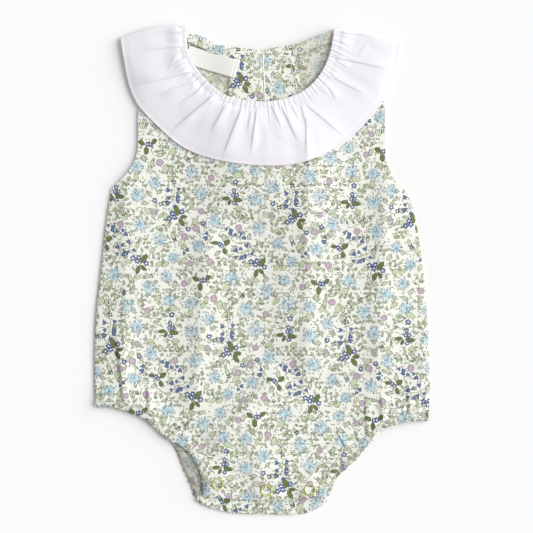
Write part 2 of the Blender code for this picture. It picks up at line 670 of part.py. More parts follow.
def make_label():
    """The woven neck label, on the left facing and the back beside it."""
    turn = np.radians(LABEL_TURN)
    length = np.array([np.cos(turn), np.sin(turn)]) * LABEL_LENGTH
    width = np.array([np.sin(turn), -np.cos(turn)]) * LABEL_WIDTH
    corner = np.array(LABEL_CORNER)
    inner = np.array([corner + width * k / 3 for k in range(4)])
    outer = inner + length

    def low(x, y, u, v):
        on_facing = ramp(x, FACING_EDGE_LEFT[0].x - 12.0, FACING_EDGE_LEFT[0].x - 5.0)
        return back_left_floor(x, y) + LAYER + LAYER * on_facing

    strip("neck_label", 3, tuple(np.linspace(0.0, 1.0, 9)), between(inner, outer), low,
          lambda x, y, u, v: low(x, y, u, v) + WALL, WOVEN_LABEL)


def shoulder_ends(u):
    """1 at the two ends of a strip that comes down at the shoulder folds."""
    return ramp(np.minimum(u, 1 - u), 0.9 / (2 * NECK_GATHERS), 0.0)


def make_neck_casing():
    """The ruffle's heading: a narrow gathered casing along the front neck edge."""
    places = gather_places(NECK_GATHERS)
    place = between(along(NECK, places), along(sideways(NECK, -NECK_CASING_WIDTH), places))

    def low(x, y, u, v):
        floor = front_floor(x, y)
        return floor + (RUFFLE_LIFT - floor) * shoulder_ends(u)

    def top(x, y, u, v):
        fullness = 0.3 * np.sin(np.pi * v) + 0.5 * gather_wave(u, NECK_GATHERS)
        return low(x, y, u, v) + NECK_CASING_HEIGHT + fullness - 1.2 * shoulder_ends(u)

    strip("neck_casing", 2 * NECK_GATHERS, (0.0, 0.5, 1.0), place, low, top, WHITE_COTTON)


def bowed(place):
    """Bows a ruffle's shoulder folds upwards."""
    def bowed_place(u, v):
        x, y = place(u, v)
        return x, y + SHOULDER_RISE * np.sin(np.pi * v) * ramp(np.minimum(u, 1 - u), 0.05, 0.0)
    return bowed_place


def make_front_ruffle():
    places = gather_places(NECK_GATHERS)
    inner = along(sideways(NECK, -NECK_CASING_WIDTH - GAP), places)
    outer = along(smooth_run(RUFFLE_HEM), places)

    def low(x, y, u, v):
        height = ruffle_floor(x, y) + ruffle_rise(x, y, u, v)
        return height + (RUFFLE_LIFT - height) * shoulder_ends(u)

    strip("ruffle_front", 2 * NECK_GATHERS, (0.0, 0.12, 0.26, 0.44, 0.64, 0.84, 1.0),
          bowed(between(inner, outer)), low,
          lambda x, y, u, v: low(x, y, u, v) + WALL, WHITE_COTTON)


def make_back_ruffles():
    """The ruffle's two ends on the back; their pleats are grooves in the underside."""
    halves = (("left", BACK_RUFFLE_NECK_LEFT, RUFFLE_HEM[0].x, BACK_RUFFLE_NECK_LEFT[0].x, 1),
              ("right", BACK_RUFFLE_NECK_RIGHT[::-1], RUFFLE_HEM[-1].x,
               BACK_RUFFLE_NECK_RIGHT[-1].x, 1))
    columns = 4 * BACK_RUFFLE_PLEATS
    places = gather_places(BACK_RUFFLE_PLEATS, 4)
    for side, neck, corner_x, centre_x, _ in halves:
        hem_x = np.linspace(centre_x, corner_x, 60)
        hem = np.column_stack([hem_x, back_ruffle_hem(hem_x)])
        inner = along(smooth_run(neck), places)
        outer = along(hem, places)

        def place(u, v):
            x, y = between(inner, outer)(u, v)
            return x, y + SHOULDER_RISE * np.sin(np.pi * v) * ramp(u, 0.9, 1.0)

        strip(f"ruffle_back_{side}", columns, (0.0, 0.15, 0.4, 0.7, 1.0), place,
              lambda x, y, u, v: 0.6 * gather_wave(u, BACK_RUFFLE_PLEATS),
              lambda x, y, u, v: np.full_like(x, RUFFLE_BACK_HEIGHT), WHITE_COTTON)


def make_snaps():
    """Three press studs: ring caps on the flap, and their closed halves under it."""
    for number, snap in enumerate(SNAPS, start=1):
        at = np.array([snap.x]), np.array([snap.y])
        stud_low = 2 * LAYER
        disc(f"snap_stud_{number}", snap, STUD_DIAMETER, stud_low, STUD_HEIGHT, SNAP_LACQUER)
        ring_low = front_floor(*at)[0] + WALL + GAP
        bpy.ops.mesh.primitive_torus_add(
            major_radius=(RING_DIAMETER - RING_WIRE) / 2 * MM, minor_radius=RING_WIRE / 2 * MM,
            major_segments=24, minor_segments=6,
            location=(snap.x * MM, snap.y * MM, (ring_low + RING_WIRE / 2) * MM))
        ring = bpy.context.object
        ring.name = ring.data.name = f"snap_ring_{number}"
        ring.data.shade_smooth()
        ring.data.materials.append(material(ring.name, SNAP_LACQUER))
        for collection in ring.users_collection:
            collection.objects.unlink(ring)
        GARMENT.objects.link(ring)


for leftover in list(bpy.data.objects):
    bpy.data.objects.remove(leftover, do_unlink=True)
GARMENT = bpy.data.collections.new("baby_bodysuit")
bpy.context.scene.collection.children.link(GARMENT)

make_back_ruffles()
make_back()
make_crotch_band()
make_placket()
make_neck_bindings()
make_label()
make_front()
make_neck_casing()
make_front_ruffle()
make_snaps()
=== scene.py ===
# %% [markdown]
# # A baby bodysuit, laid flat
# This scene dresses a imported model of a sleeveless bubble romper: small-flowered cotton, a
# white gathered collar ruffle, elasticated leg hems and snaps at the crotch. The garment lies
# on its back and is seen from straight above. Lengths are in millimetres until a mesh is made.

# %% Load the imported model
import json
import math
import random
from collections import namedtuple

import bpy
import numpy as np
from mathutils import Vector, geometry
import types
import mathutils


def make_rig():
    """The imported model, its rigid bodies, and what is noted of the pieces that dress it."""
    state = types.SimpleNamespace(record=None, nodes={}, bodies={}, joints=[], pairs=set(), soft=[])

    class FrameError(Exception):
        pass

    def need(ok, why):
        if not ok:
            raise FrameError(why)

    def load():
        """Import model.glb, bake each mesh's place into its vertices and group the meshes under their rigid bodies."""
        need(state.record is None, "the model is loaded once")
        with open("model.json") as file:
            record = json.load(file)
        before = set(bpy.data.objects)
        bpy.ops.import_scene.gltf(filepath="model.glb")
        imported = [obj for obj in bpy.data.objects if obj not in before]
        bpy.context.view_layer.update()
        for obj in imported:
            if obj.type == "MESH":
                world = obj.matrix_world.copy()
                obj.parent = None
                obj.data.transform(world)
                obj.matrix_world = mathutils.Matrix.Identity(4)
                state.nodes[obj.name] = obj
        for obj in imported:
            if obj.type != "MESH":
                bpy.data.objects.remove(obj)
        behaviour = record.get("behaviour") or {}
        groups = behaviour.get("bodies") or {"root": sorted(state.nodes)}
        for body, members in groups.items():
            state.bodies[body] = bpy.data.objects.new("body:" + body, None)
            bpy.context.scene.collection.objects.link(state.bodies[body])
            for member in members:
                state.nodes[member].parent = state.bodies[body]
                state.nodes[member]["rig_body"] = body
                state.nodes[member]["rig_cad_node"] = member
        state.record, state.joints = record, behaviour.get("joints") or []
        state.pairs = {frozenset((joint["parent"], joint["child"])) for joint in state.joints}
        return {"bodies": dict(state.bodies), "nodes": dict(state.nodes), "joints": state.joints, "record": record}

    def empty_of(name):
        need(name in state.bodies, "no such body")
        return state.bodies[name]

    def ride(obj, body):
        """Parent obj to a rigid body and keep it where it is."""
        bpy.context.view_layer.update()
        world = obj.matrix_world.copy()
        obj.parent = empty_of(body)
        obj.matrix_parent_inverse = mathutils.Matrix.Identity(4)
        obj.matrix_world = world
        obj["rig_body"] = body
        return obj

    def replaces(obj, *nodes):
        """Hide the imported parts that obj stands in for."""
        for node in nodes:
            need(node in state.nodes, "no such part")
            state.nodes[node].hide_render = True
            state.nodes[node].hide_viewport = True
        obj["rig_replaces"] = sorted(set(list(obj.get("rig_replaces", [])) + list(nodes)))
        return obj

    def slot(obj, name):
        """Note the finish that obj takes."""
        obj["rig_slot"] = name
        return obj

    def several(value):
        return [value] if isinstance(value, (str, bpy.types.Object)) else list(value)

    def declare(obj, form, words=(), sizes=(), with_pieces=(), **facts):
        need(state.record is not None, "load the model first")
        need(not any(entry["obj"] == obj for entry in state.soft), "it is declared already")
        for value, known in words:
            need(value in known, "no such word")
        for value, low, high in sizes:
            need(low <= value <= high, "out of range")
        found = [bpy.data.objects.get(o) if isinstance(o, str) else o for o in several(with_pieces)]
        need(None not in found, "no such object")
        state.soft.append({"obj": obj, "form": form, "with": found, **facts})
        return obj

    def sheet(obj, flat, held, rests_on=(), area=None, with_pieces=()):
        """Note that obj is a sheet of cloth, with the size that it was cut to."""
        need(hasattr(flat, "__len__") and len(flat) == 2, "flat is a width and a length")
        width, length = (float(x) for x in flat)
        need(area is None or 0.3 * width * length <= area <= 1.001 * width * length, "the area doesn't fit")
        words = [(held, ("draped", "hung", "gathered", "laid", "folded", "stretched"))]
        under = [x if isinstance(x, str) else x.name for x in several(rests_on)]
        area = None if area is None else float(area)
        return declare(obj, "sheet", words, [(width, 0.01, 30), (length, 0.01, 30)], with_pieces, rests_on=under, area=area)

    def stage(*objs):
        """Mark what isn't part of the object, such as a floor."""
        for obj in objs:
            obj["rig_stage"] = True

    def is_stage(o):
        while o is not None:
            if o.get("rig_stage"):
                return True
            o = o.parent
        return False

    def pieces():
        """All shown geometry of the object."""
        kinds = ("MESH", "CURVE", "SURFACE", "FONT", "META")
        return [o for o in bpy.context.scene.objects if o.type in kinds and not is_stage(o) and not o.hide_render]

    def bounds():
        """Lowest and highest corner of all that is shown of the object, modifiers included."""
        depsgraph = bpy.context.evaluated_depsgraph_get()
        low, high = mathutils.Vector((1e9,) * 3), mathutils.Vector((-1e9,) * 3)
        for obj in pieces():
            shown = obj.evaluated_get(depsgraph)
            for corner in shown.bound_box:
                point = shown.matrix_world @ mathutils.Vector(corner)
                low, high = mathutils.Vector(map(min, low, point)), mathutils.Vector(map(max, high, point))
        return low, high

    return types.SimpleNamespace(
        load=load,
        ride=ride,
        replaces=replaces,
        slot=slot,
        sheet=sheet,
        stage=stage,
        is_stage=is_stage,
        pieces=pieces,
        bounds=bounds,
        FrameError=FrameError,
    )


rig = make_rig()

for leftover in list(bpy.data.objects):
    bpy.data.objects.remove(leftover, do_unlink=True)
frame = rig.load()
CAD_BOX = [list(corner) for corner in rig.bounds()]
MM = 0.001
print("nodes:", len(frame["nodes"]))

# %% [markdown]
# ## Edges as smooth runs
# A pattern cutter draws an edge through a few measured points and fairs it. Here each edge is
# a short table of points, and one function draws the smooth run through them. Three more
# find places along a run, beside it, and how far a point is from it.

# %% Smooth runs
Point = namedtuple("Point", "x y")


def smooth_run(points, step=3.0):
    """A fair curve through the points, cut into even steps of about the given length."""
    knots = np.array(points, dtype=float)
    ends = np.vstack([2 * knots[0] - knots[1], knots, 2 * knots[-1] - knots[-2]])
    t = np.linspace(0.0, 1.0, 24, endpoint=False)[:, None]
    spans = []
    for before, start, end, after in zip(ends, ends[1:], ends[2:], ends[3:]):
        length = np.linalg.norm(end - start)
        leave = (end - before) / np.linalg.norm(end - before) * length
        arrive = (after - start) / np.linalg.norm(after - start) * length
        spans.append((2 * t**3 - 3 * t**2 + 1) * start + (t**3 - 2 * t**2 + t) * leave
                     + (3 * t**2 - 2 * t**3) * end + (t**3 - t**2) * arrive)
    fine = np.vstack(spans + [knots[-1:]])
    length = np.linalg.norm(np.diff(fine, axis=0), axis=1).sum()
    return along(fine, np.linspace(0.0, 1.0, max(2, round(length / step) + 1)))


def along(run, fractions):
    """The places at these fractions of a run's length."""
    steps = np.linalg.norm(np.diff(run, axis=0), axis=1)
    done = np.concatenate([[0.0], np.cumsum(steps)]) / steps.sum()
    return np.column_stack([np.interp(fractions, done, run[:, k]) for k in (0, 1)])


def sideways(run, distance):
    """The run moved to the left of its own direction."""
    tangent = np.gradient(run, axis=0)
    tangent /= np.linalg.norm(tangent, axis=1)[:, None]
    return run + distance * np.column_stack([-tangent[:, 1], tangent[:, 0]])


def run_length(run):
    return np.linalg.norm(np.diff(run, axis=0), axis=1).sum()


def run_coordinates(run, x, y):
    """How far along a run (0 to 1) and how far from it each point lies."""
    s, apart = np.empty(len(x)), np.empty(len(x))
    start, step = run[:-1], np.diff(run, axis=0)
    size = np.linalg.norm(step, axis=1)
    done = np.concatenate([[0.0], np.cumsum(size)])
    for low in range(0, len(x), 4000):
        part = slice(low, low + 4000)
        offset = np.stack([x[part, None] - start[:, 0], y[part, None] - start[:, 1]], axis=2)
        t = np.clip((offset * step).sum(axis=2) / size**2, 0.0, 1.0)
        away = np.linalg.norm(offset - t[:, :, None] * step, axis=2)
        nearest = away.argmin(axis=1)
        rows = np.arange(len(nearest))
        s[part] = (done[nearest] + t[rows, nearest] * size[nearest]) / done[-1]
        apart[part] = away[rows, nearest]
    return s, apart


def outline_of(*runs):
    """Runs joined into one closed outline, without doubled corners."""
    joined = np.vstack(runs)
    gap = np.linalg.norm(joined - np.roll(joined, 1, axis=0), axis=1)
    return joined[gap > 0.05]


arc = smooth_run((Point(-50.0, 0.0), Point(0.0, 50.0), Point(50.0, 0.0)))
print("a fair arc over 100 mm:", len(arc), "points,", round(run_length(arc)), "mm")

# %% [markdown]
# ## The garment's measured edges
# These are the outlines of the cut pieces as they lie, measured from the garment: X to the
# right, Y to the neck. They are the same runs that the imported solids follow.

# %% Measured edges, mm
NECK_FRONT = (
    Point(-62.3, 203.4), Point(-62.6, 190.0), Point(-58.4, 174.3), Point(-44.8, 156.4),
    Point(-27.0, 144.2), Point(4.0, 140.4), Point(29.5, 146.8), Point(45.7, 159.9),
    Point(55.9, 180.3), Point(59.6, 201.2),
)
NECK_BACK_LEFT = (
    Point(0.4, 183.0), Point(-17.8, 184.7), Point(-36.5, 188.4), Point(-52.3, 196.0),
    Point(-61.5, 199.0), Point(-67.0, 199.2),
)
NECK_BACK_RIGHT = (
    Point(0.4, 183.0), Point(13.3, 185.8), Point(29.4, 188.4), Point(45.2, 195.0),
    Point(57.5, 198.4), Point(64.5, 198.4),
)
RUFFLE_HEM = (
    Point(-117.9, 193.8), Point(-115.1, 176.0), Point(-110.9, 154.9), Point(-103.6, 138.4),
    Point(-88.0, 121.2), Point(-66.9, 103.3), Point(-41.5, 93.0), Point(-7.6, 87.6),
    Point(23.7, 88.0), Point(49.1, 95.6), Point(74.5, 111.7), Point(98.3, 138.0),
    Point(109.3, 160.0), Point(115.2, 190.6),
)
SHOULDER_LEFT = (Point(-67.0, 199.2), Point(-81.0, 197.8), Point(-98.0, 192.5))
ARMHOLE_LEFT = (
    Point(-98.0, 192.5), Point(-101.0, 160.0), Point(-102.9, 125.3), Point(-103.8, 98.2),
    Point(-110.6, 83.0), Point(-125.4, 68.0),
)
SIDE_LEFT = (
    Point(-125.4, 68.0), Point(-129.2, 44.8), Point(-133.6, 6.6), Point(-138.6, -40.7),
    Point(-139.4, -90.5), Point(-138.0, -112.8),
)
SHOULDER_RIGHT = (Point(64.5, 198.4), Point(77.0, 196.6), Point(96.0, 190.5))
ARMHOLE_RIGHT = (
    Point(96.0, 190.5), Point(100.5, 160.0), Point(102.4, 125.3), Point(102.9, 93.1),
    Point(110.4, 75.5), Point(123.0, 61.8),
)
SIDE_RIGHT = (
    Point(123.0, 61.8), Point(130.8, 24.1), Point(136.1, -20.8), Point(139.2, -75.0),
    Point(139.4, -98.0), Point(138.0, -124.5),
)
HEM_FRONT_LEFT = (
    Point(-138.0, -112.8), Point(-127.8, -112.8), Point(-118.4, -115.1), Point(-98.8, -122.6),
    Point(-80.3, -138.2), Point(-63.5, -148.4), Point(-56.7, -156.2), Point(-52.0, -164.5),
    Point(-49.4, -175.0), Point(-49.0, -187.6),
)
HEM_FRONT_RIGHT = (
    Point(138.0, -124.5), Point(124.5, -124.5), Point(102.1, -130.6), Point(92.1, -140.6),
    Point(75.2, -151.1), Point(65.8, -161.6), Point(57.4, -172.6), Point(53.8, -180.9),
    Point(53.2, -187.6),
)
HEM_BACK_LEFT = (
    Point(-137.2, -111.8), Point(-127.8, -111.8), Point(-118.2, -114.1), Point(-98.4, -121.4),
    Point(-80.5, -137.0), Point(-71.6, -149.5), Point(-66.4, -161.9), Point(-60.6, -175.0),
    Point(-56.0, -187.7),
)
HEM_BACK_RIGHT = (
    Point(137.2, -123.5), Point(124.5, -123.5), Point(101.6, -129.6), Point(91.0, -141.0),
    Point(78.5, -156.0), Point(61.8, -172.4), Point(57.8, -180.7), Point(54.9, -187.7),
)
BAND_FOLD = (
    Point(-55.0, -192.4), Point(-47.0, -195.6), Point(-33.5, -199.8), Point(-22.0, -201.7),
    Point(5.0, -202.4), Point(27.0, -202.6), Point(43.5, -199.2), Point(53.8, -192.6),
)
FACING_EDGE_LEFT = (Point(-25.0, 176.5), Point(-28.5, 150.0), Point(-30.0, 68.0))
FACING_EDGE_RIGHT = (Point(25.5, 178.0), Point(32.0, 150.0), Point(33.5, 68.0))
BACK_RUFFLE_NECK_LEFT = (
    Point(-19.0, 183.4), Point(-36.5, 187.2), Point(-52.3, 194.8), Point(-62.4, 201.7),
)
BACK_RUFFLE_NECK_RIGHT = (
    Point(3.0, 182.2), Point(29.4, 187.2), Point(45.2, 193.8), Point(59.6, 201.2),
)
SNAPS = (Point(-36.6, -176.5), Point(3.7, -182.2), Point(39.7, -181.0))
BUTTONS = (Point(-7.6, 171.0), Point(-7.6, 120.0), Point(-7.6, 82.0))
LABEL_CORNER, LABEL_SIZE, LABEL_TURN = Point(-60.5, 187.0), (44.0, 15.2), -17.1

NECK = smooth_run(NECK_FRONT, 1.0)
HEM = smooth_run(RUFFLE_HEM, 1.0)
FRONT_HEM_LEFT = smooth_run(HEM_FRONT_LEFT, 1.5)
FRONT_HEM_RIGHT = smooth_run(HEM_FRONT_RIGHT, 1.5)[::-1]
BACK_HEM_LEFT = smooth_run(HEM_BACK_LEFT, 1.5)
BACK_HEM_RIGHT = smooth_run(HEM_BACK_RIGHT, 1.5)[::-1]
FRONT_HEMS, BACK_HEMS = (FRONT_HEM_LEFT, FRONT_HEM_RIGHT), (BACK_HEM_LEFT, BACK_HEM_RIGHT)
SIDE_RUNS = (smooth_run(SIDE_LEFT), smooth_run(SIDE_RIGHT))
print("neck edge:", round(run_length(NECK)), "mm, ruffle hem:", round(run_length(HEM)), "mm")

# %% [markdown]
# ## The sizes of small things
# Casings, bindings, laps and gathers have ordinary workshop sizes. Each is named once, and
# the heights and outlines below are worked out from them.

# %% Layer sizes, mm
WALL, GAP = 1.0, 0.3      # one solid's cloth, and the air between two
LAYER = WALL + GAP
NECK_CASING_WIDTH, NECK_CASING_HEIGHT = 5.0, 2.0
LEG_CASING_WIDTH = 6.5
BINDING_WIDTH = 9.0
NECK_GATHERS = 48         # gathers that the heading pulls in
RUFFLE_PLEATS = 20        # soft pleats that they run into
BACK_RUFFLE_PLEATS = 9
LEG_GATHERS, FINE_GATHERS = 22, 37   # along a leg hem
RUFFLE_LIFT = 1.9         # of what lies on the back ruffle
LAP_WIDTH = 16.0          # how far the left back laps over the right one
CENTRE_BACK = 0.4         # x of the left back's edge
PLACKET_BOTTOM = 68.0     # y where the centre-back opening ends
BAND_TOP = -168.0         # y of the crotch band's free edge
BAND_SEAM = -188.0        # y of the seam that joins it to the back
FLAP_DROP = 2.4           # how far the flap's lower edge bows down
SHOULDER_RISE = 2.8       # how far the ruffle's shoulder folds bow up
FADE, BAND_FADE = 36.0, 16.0   # the slope on which cloth climbs onto a layer
LANDING = 6.0             # where it is up, measured from the layer's edge
EASE = 0.25               # room under the ruffle
STUD_HEIGHT = 1.2
BUTTON_HEIGHT, BUTTON_REACH = 1.0, 5.0
print("one layer of cloth and its air:", LAYER, "mm")

# %% [markdown]
# ## Slopes, dents and rises
# A few small functions shape every height below: a smooth slope between two places, the
# quarter round of a folded edge, the dent of a stitch line, and rises with a flat top over
# whatever lies under the cloth.

# %% Slopes and rises
Bump = namedtuple("Bump", "x y lift flat fade")


def ramp(t, low, high):
    """0 at low, 1 at high, smooth between; high may be the smaller one."""
    t = np.clip((t - low) / (high - low), 0.0, 1.0)
    return t * t * (3 - 2 * t)


def rounded(t):
    """0 at a folded edge and 1 from there on, rising as a quarter circle does."""
    return np.sqrt(1 - (1 - np.clip(t, 0.0, 1.0))**2)


def stitch_dent(apart, line, depth=0.15, width=0.5):
    """The narrow dent that a stitch line presses into cloth."""
    return depth * np.exp(-((apart - line) / width)**2)


def over(t, edge):
    """0 outside a layer's edge, 1 where the cloth lies on that layer."""
    return ramp(t, edge - LANDING - FADE, edge - LANDING)


def bumps(rows, x, y):
    """The highest of a few round rises, each flat on top."""
    height = np.zeros_like(x)
    for b in rows:
        height = np.maximum(height, b.lift * ramp(np.hypot(x - b.x, y - b.y), b.fade, b.flat))
    return height


print("half-way up a slope:", ramp(5.0, 0.0, 10.0))

# %% [markdown]
# ## How high each layer lies
# Cloth on a table is a stack of thin layers. Each layer's height is worked out from what is
# under it, with a slow slope where it passes over an edge. The soft folds come on top.

# %% Floors of the layers
UNDER_NECK = (
    Bump(-61.0, 180.0, LAYER, 8.0, 22.0),
    Bump(-62.0, 197.0, LAYER, 8.0, 20.0),
    Bump(59.5, 197.0, LAYER, 8.0, 20.0),
)


def back_ruffle_hem(x):
    """y of the hem of the ruffle that lies under the back."""
    return 131.0 + 62.0 * (np.abs(x) / 117.0)**2.2


def back_floor(x, y):
    """Underside of the right back: over the back ruffle and the row of buttons."""
    middle = BUTTONS[0].x
    stand = over(x, middle - BUTTON_REACH) * over(-x, -middle - BUTTON_REACH)
    stand = (BUTTON_HEIGHT + GAP) * stand * over(y, BUTTONS[-1].y - BUTTON_REACH)
    return np.maximum(RUFFLE_LIFT * over(y, back_ruffle_hem(x)), stand)


def lap(x, y):
    """Where the left back lies on the right one."""
    return over(x, CENTRE_BACK - LAP_WIDTH) * over(y, PLACKET_BOTTOM)


def back_left_floor(x, y):
    return back_floor(x, y) + LAYER * lap(x, y)


def front_floor(x, y):
    """Where the front lies: on the back and on what is sewn to it."""
    facings = over(x, FACING_EDGE_LEFT[-1].x) * over(-x, -FACING_EDGE_RIGHT[-1].x)
    left_lap = lap(x, y) * over(-x, -CENTRE_BACK)
    studs = [Bump(p.x, p.y, STUD_HEIGHT + GAP, 6.4, 15.0) for p in SNAPS]
    return (LAYER + back_floor(x, y) + LAYER * facings * over(y, PLACKET_BOTTOM)
            + LAYER * left_lap + bumps(UNDER_NECK, x, y)
            + LAYER * ramp(y, BAND_TOP + BAND_FADE, BAND_TOP + 1.0) + bumps(studs, x, y))


print("front at the middle of the neck:", front_floor(np.zeros(1), np.full(1, 150.0)).round(2))

# %% [markdown]
# ## Gathers
# Elastic pulls cloth into gathers of uneven width. One counting function sets where they
# fall, so the hem, the panel beside it and the ruffle agree. In the panel they are steeper
# on the side that turns from the light, because a gather is seen by its shade.

# %% Gathers
def gather_phase(s, count):
    """How many gathers lie before a place along a run, unevenly spaced."""
    return count * (s + 0.008 * np.sin(4 * np.pi * s) + 0.004 * np.sin(12 * np.pi * s))


def gather_wave(s, count):
    """0 in the hollows and up to 1 on the crests, some crests lower than others."""
    phase = gather_phase(s, count)
    swell = 0.75 + 0.25 * np.sin(0.73 * phase + 0.6 * np.sin(1.9 * phase))
    return (0.5 - 0.5 * np.cos(2 * np.pi * phase)) * swell


def creased(s, count):
    """Gathers with a steep side away from the light and a long slope towards it."""
    phase = gather_phase(s + 0.002 * np.sin(71 * s), count)
    t = phase % 1.0
    rise = np.minimum(t / 0.26, (1 - t) / 0.74)
    swell = 0.62 + 0.38 * np.sin(0.73 * phase + 1.6 * np.sin(1.9 * phase))
    return (0.5 - 0.5 * np.cos(np.pi * rise)) * swell


print("gathers along a leg hem:", LEG_GATHERS, "and", FINE_GATHERS, "fine ones")

# %% [markdown]
# ## Two kinds of crease
# Larger creases are listed one row each: where it starts and ends, how deep and how wide it
# is. Most are narrow ridges that die out towards their far end. The body's eight broad folds
# are long, slow slopes that meet in a soft edge, because thin cotton billows like that between
# its seams. Their steep side, too, is the one away from the light.

# %% Ridges and broad folds
Crease = namedtuple("Crease", "x0 y0 x1 y1 depth width")
LIGHT_SIDE = (0.96, 0.26)   # where the light comes from, in plan


def beside_line(c, x, y):
    """How far along a crease each point lies (0 to 1), and how far to its sunny side."""
    length = math.hypot(c.x1 - c.x0, c.y1 - c.y0)
    ux, uy = (c.x1 - c.x0) / length, (c.y1 - c.y0) / length
    s = ((x - c.x0) * ux + (y - c.y0) * uy) / length
    beside = (x - c.x0) * uy - (y - c.y0) * ux
    return s, beside * math.copysign(1.0, uy * LIGHT_SIDE[0] - ux * LIGHT_SIDE[1])


def ridges(rows, x, y, steep, gentle, trough=0.0):
    """Soft ridges that die out along their lines, steeper on the side away from the light;
    a trough may follow the steep side."""
    height = np.zeros_like(x)
    for c in rows:
        s, beside = beside_line(c, x, y)
        width = np.where(beside < 0, steep * c.width, gentle * c.width)
        run = ramp(s, -0.12, 0.12) * ramp(s, 1.05, 0.55)
        low = trough * np.exp(-((beside + 1.5 * steep * c.width) / 0.7)**2)
        height += run * (c.depth * np.exp(-(beside / width)**2) - low)
    return height


SUNNY_SLOPE = 3.0    # how much longer than its shaded slope a broad fold's sunny one is
FOLD_EDGE = 2.0      # how softly the two slopes meet


def broad_folds(x, y):
    """Where the body billows: a long slope towards the light, a shorter one away from it,
    and a soft edge where they meet."""
    height = np.zeros_like(x)
    for c in BODY_FOLDS:
        s, beside = beside_line(c, x, y)
        width = np.where(beside < 0, c.width, SUNNY_SLOPE * c.width)
        run = ramp(s, -0.12, 0.12) * ramp(s, 1.05, 0.75)
        height += run * c.depth * np.exp(-(np.hypot(beside, FOLD_EDGE) - FOLD_EDGE) / width)
    return height


print("a broad fold's sunny slope is", SUNNY_SLOPE, "times the shaded one")

# %% [markdown]
# ## Where the creases lie
# At the leg hems they start in the elastic and run into the panel. The body's folds run from
# the chest down to the hems, and one lies slantwise over the crotch. The ruffle's fan out
# from the neck.

# %% Rows of creases, mm
LEG_FOLDS = (
    Crease(-133.0, -106.0, -131.5, -84.0, 0.62, 3.0),
    Crease(-126.5, -110.0, -127.0, -96.0, 0.43, 2.2),
    Crease(-114.5, -109.0, -122.0, -42.0, 1.86, 3.0),
    Crease(-106.0, -113.0, -108.0, -92.0, 0.62, 2.4),
    Crease(-101.0, -116.0, -101.5, -104.0, 0.43, 2.2),
    Crease(-93.8, -120.0, -95.5, -90.0, 1.55, 2.6),
    Crease(-84.0, -128.0, -78.0, -106.0, 0.56, 2.8),
    Crease(-75.0, -136.0, -70.0, -124.0, 0.5, 2.4),
    Crease(-68.0, -140.0, -56.0, -116.0, 0.56, 3.0),
    Crease(-61.0, -148.0, -52.0, -138.0, 0.43, 2.4),
    Crease(-51.0, -156.0, -34.0, -146.0, 0.5, 3.0),
    Crease(134.5, -119.0, 133.5, -100.0, 0.56, 2.4),
    Crease(128.5, -119.0, 128.0, -106.0, 0.5, 2.2),
    Crease(122.5, -119.0, 120.0, -90.0, 1.12, 2.6),
    Crease(116.5, -120.0, 116.0, -107.0, 0.5, 2.2),
    Crease(111.5, -122.0, 111.5, -104.0, 0.56, 2.2),
    Crease(106.5, -125.0, 106.0, -106.0, 0.74, 2.4),
    Crease(99.6, -130.0, 98.6, -98.0, 1.8, 2.8),
    Crease(93.0, -134.0, 92.0, -118.0, 0.5, 2.2),
    Crease(86.7, -139.0, 86.0, -100.0, 1.18, 2.8),
    Crease(80.0, -144.0, 76.5, -128.0, 0.5, 2.4),
    Crease(71.0, -149.0, 60.0, -129.0, 0.56, 2.8),
    Crease(63.0, -158.0, 53.0, -146.0, 0.5, 2.6),
    Crease(56.0, -164.0, 43.0, -150.0, 0.5, 2.8),
)
BODY_FOLDS = (
    Crease(38.0, 104.0, 37.0, -122.0, 4.8, 18.0),
    Crease(17.0, 48.0, 17.0, -78.0, 1.6, 12.0),
    Crease(103.0, 84.0, 94.0, -112.0, 3.4, 11.0),
    Crease(-45.0, 38.0, -57.0, -138.0, 3.6, 13.0),
    Crease(-112.0, 82.0, -113.0, -112.0, 2.2, 9.0),
    Crease(-44.0, -144.0, 20.0, -82.0, 3.7, 11.0),
    Crease(-3.0, -174.0, -5.0, -116.0, 1.6, 11.0),
    Crease(134.0, -46.0, 131.5, -114.0, 0.8, 4.0),
)
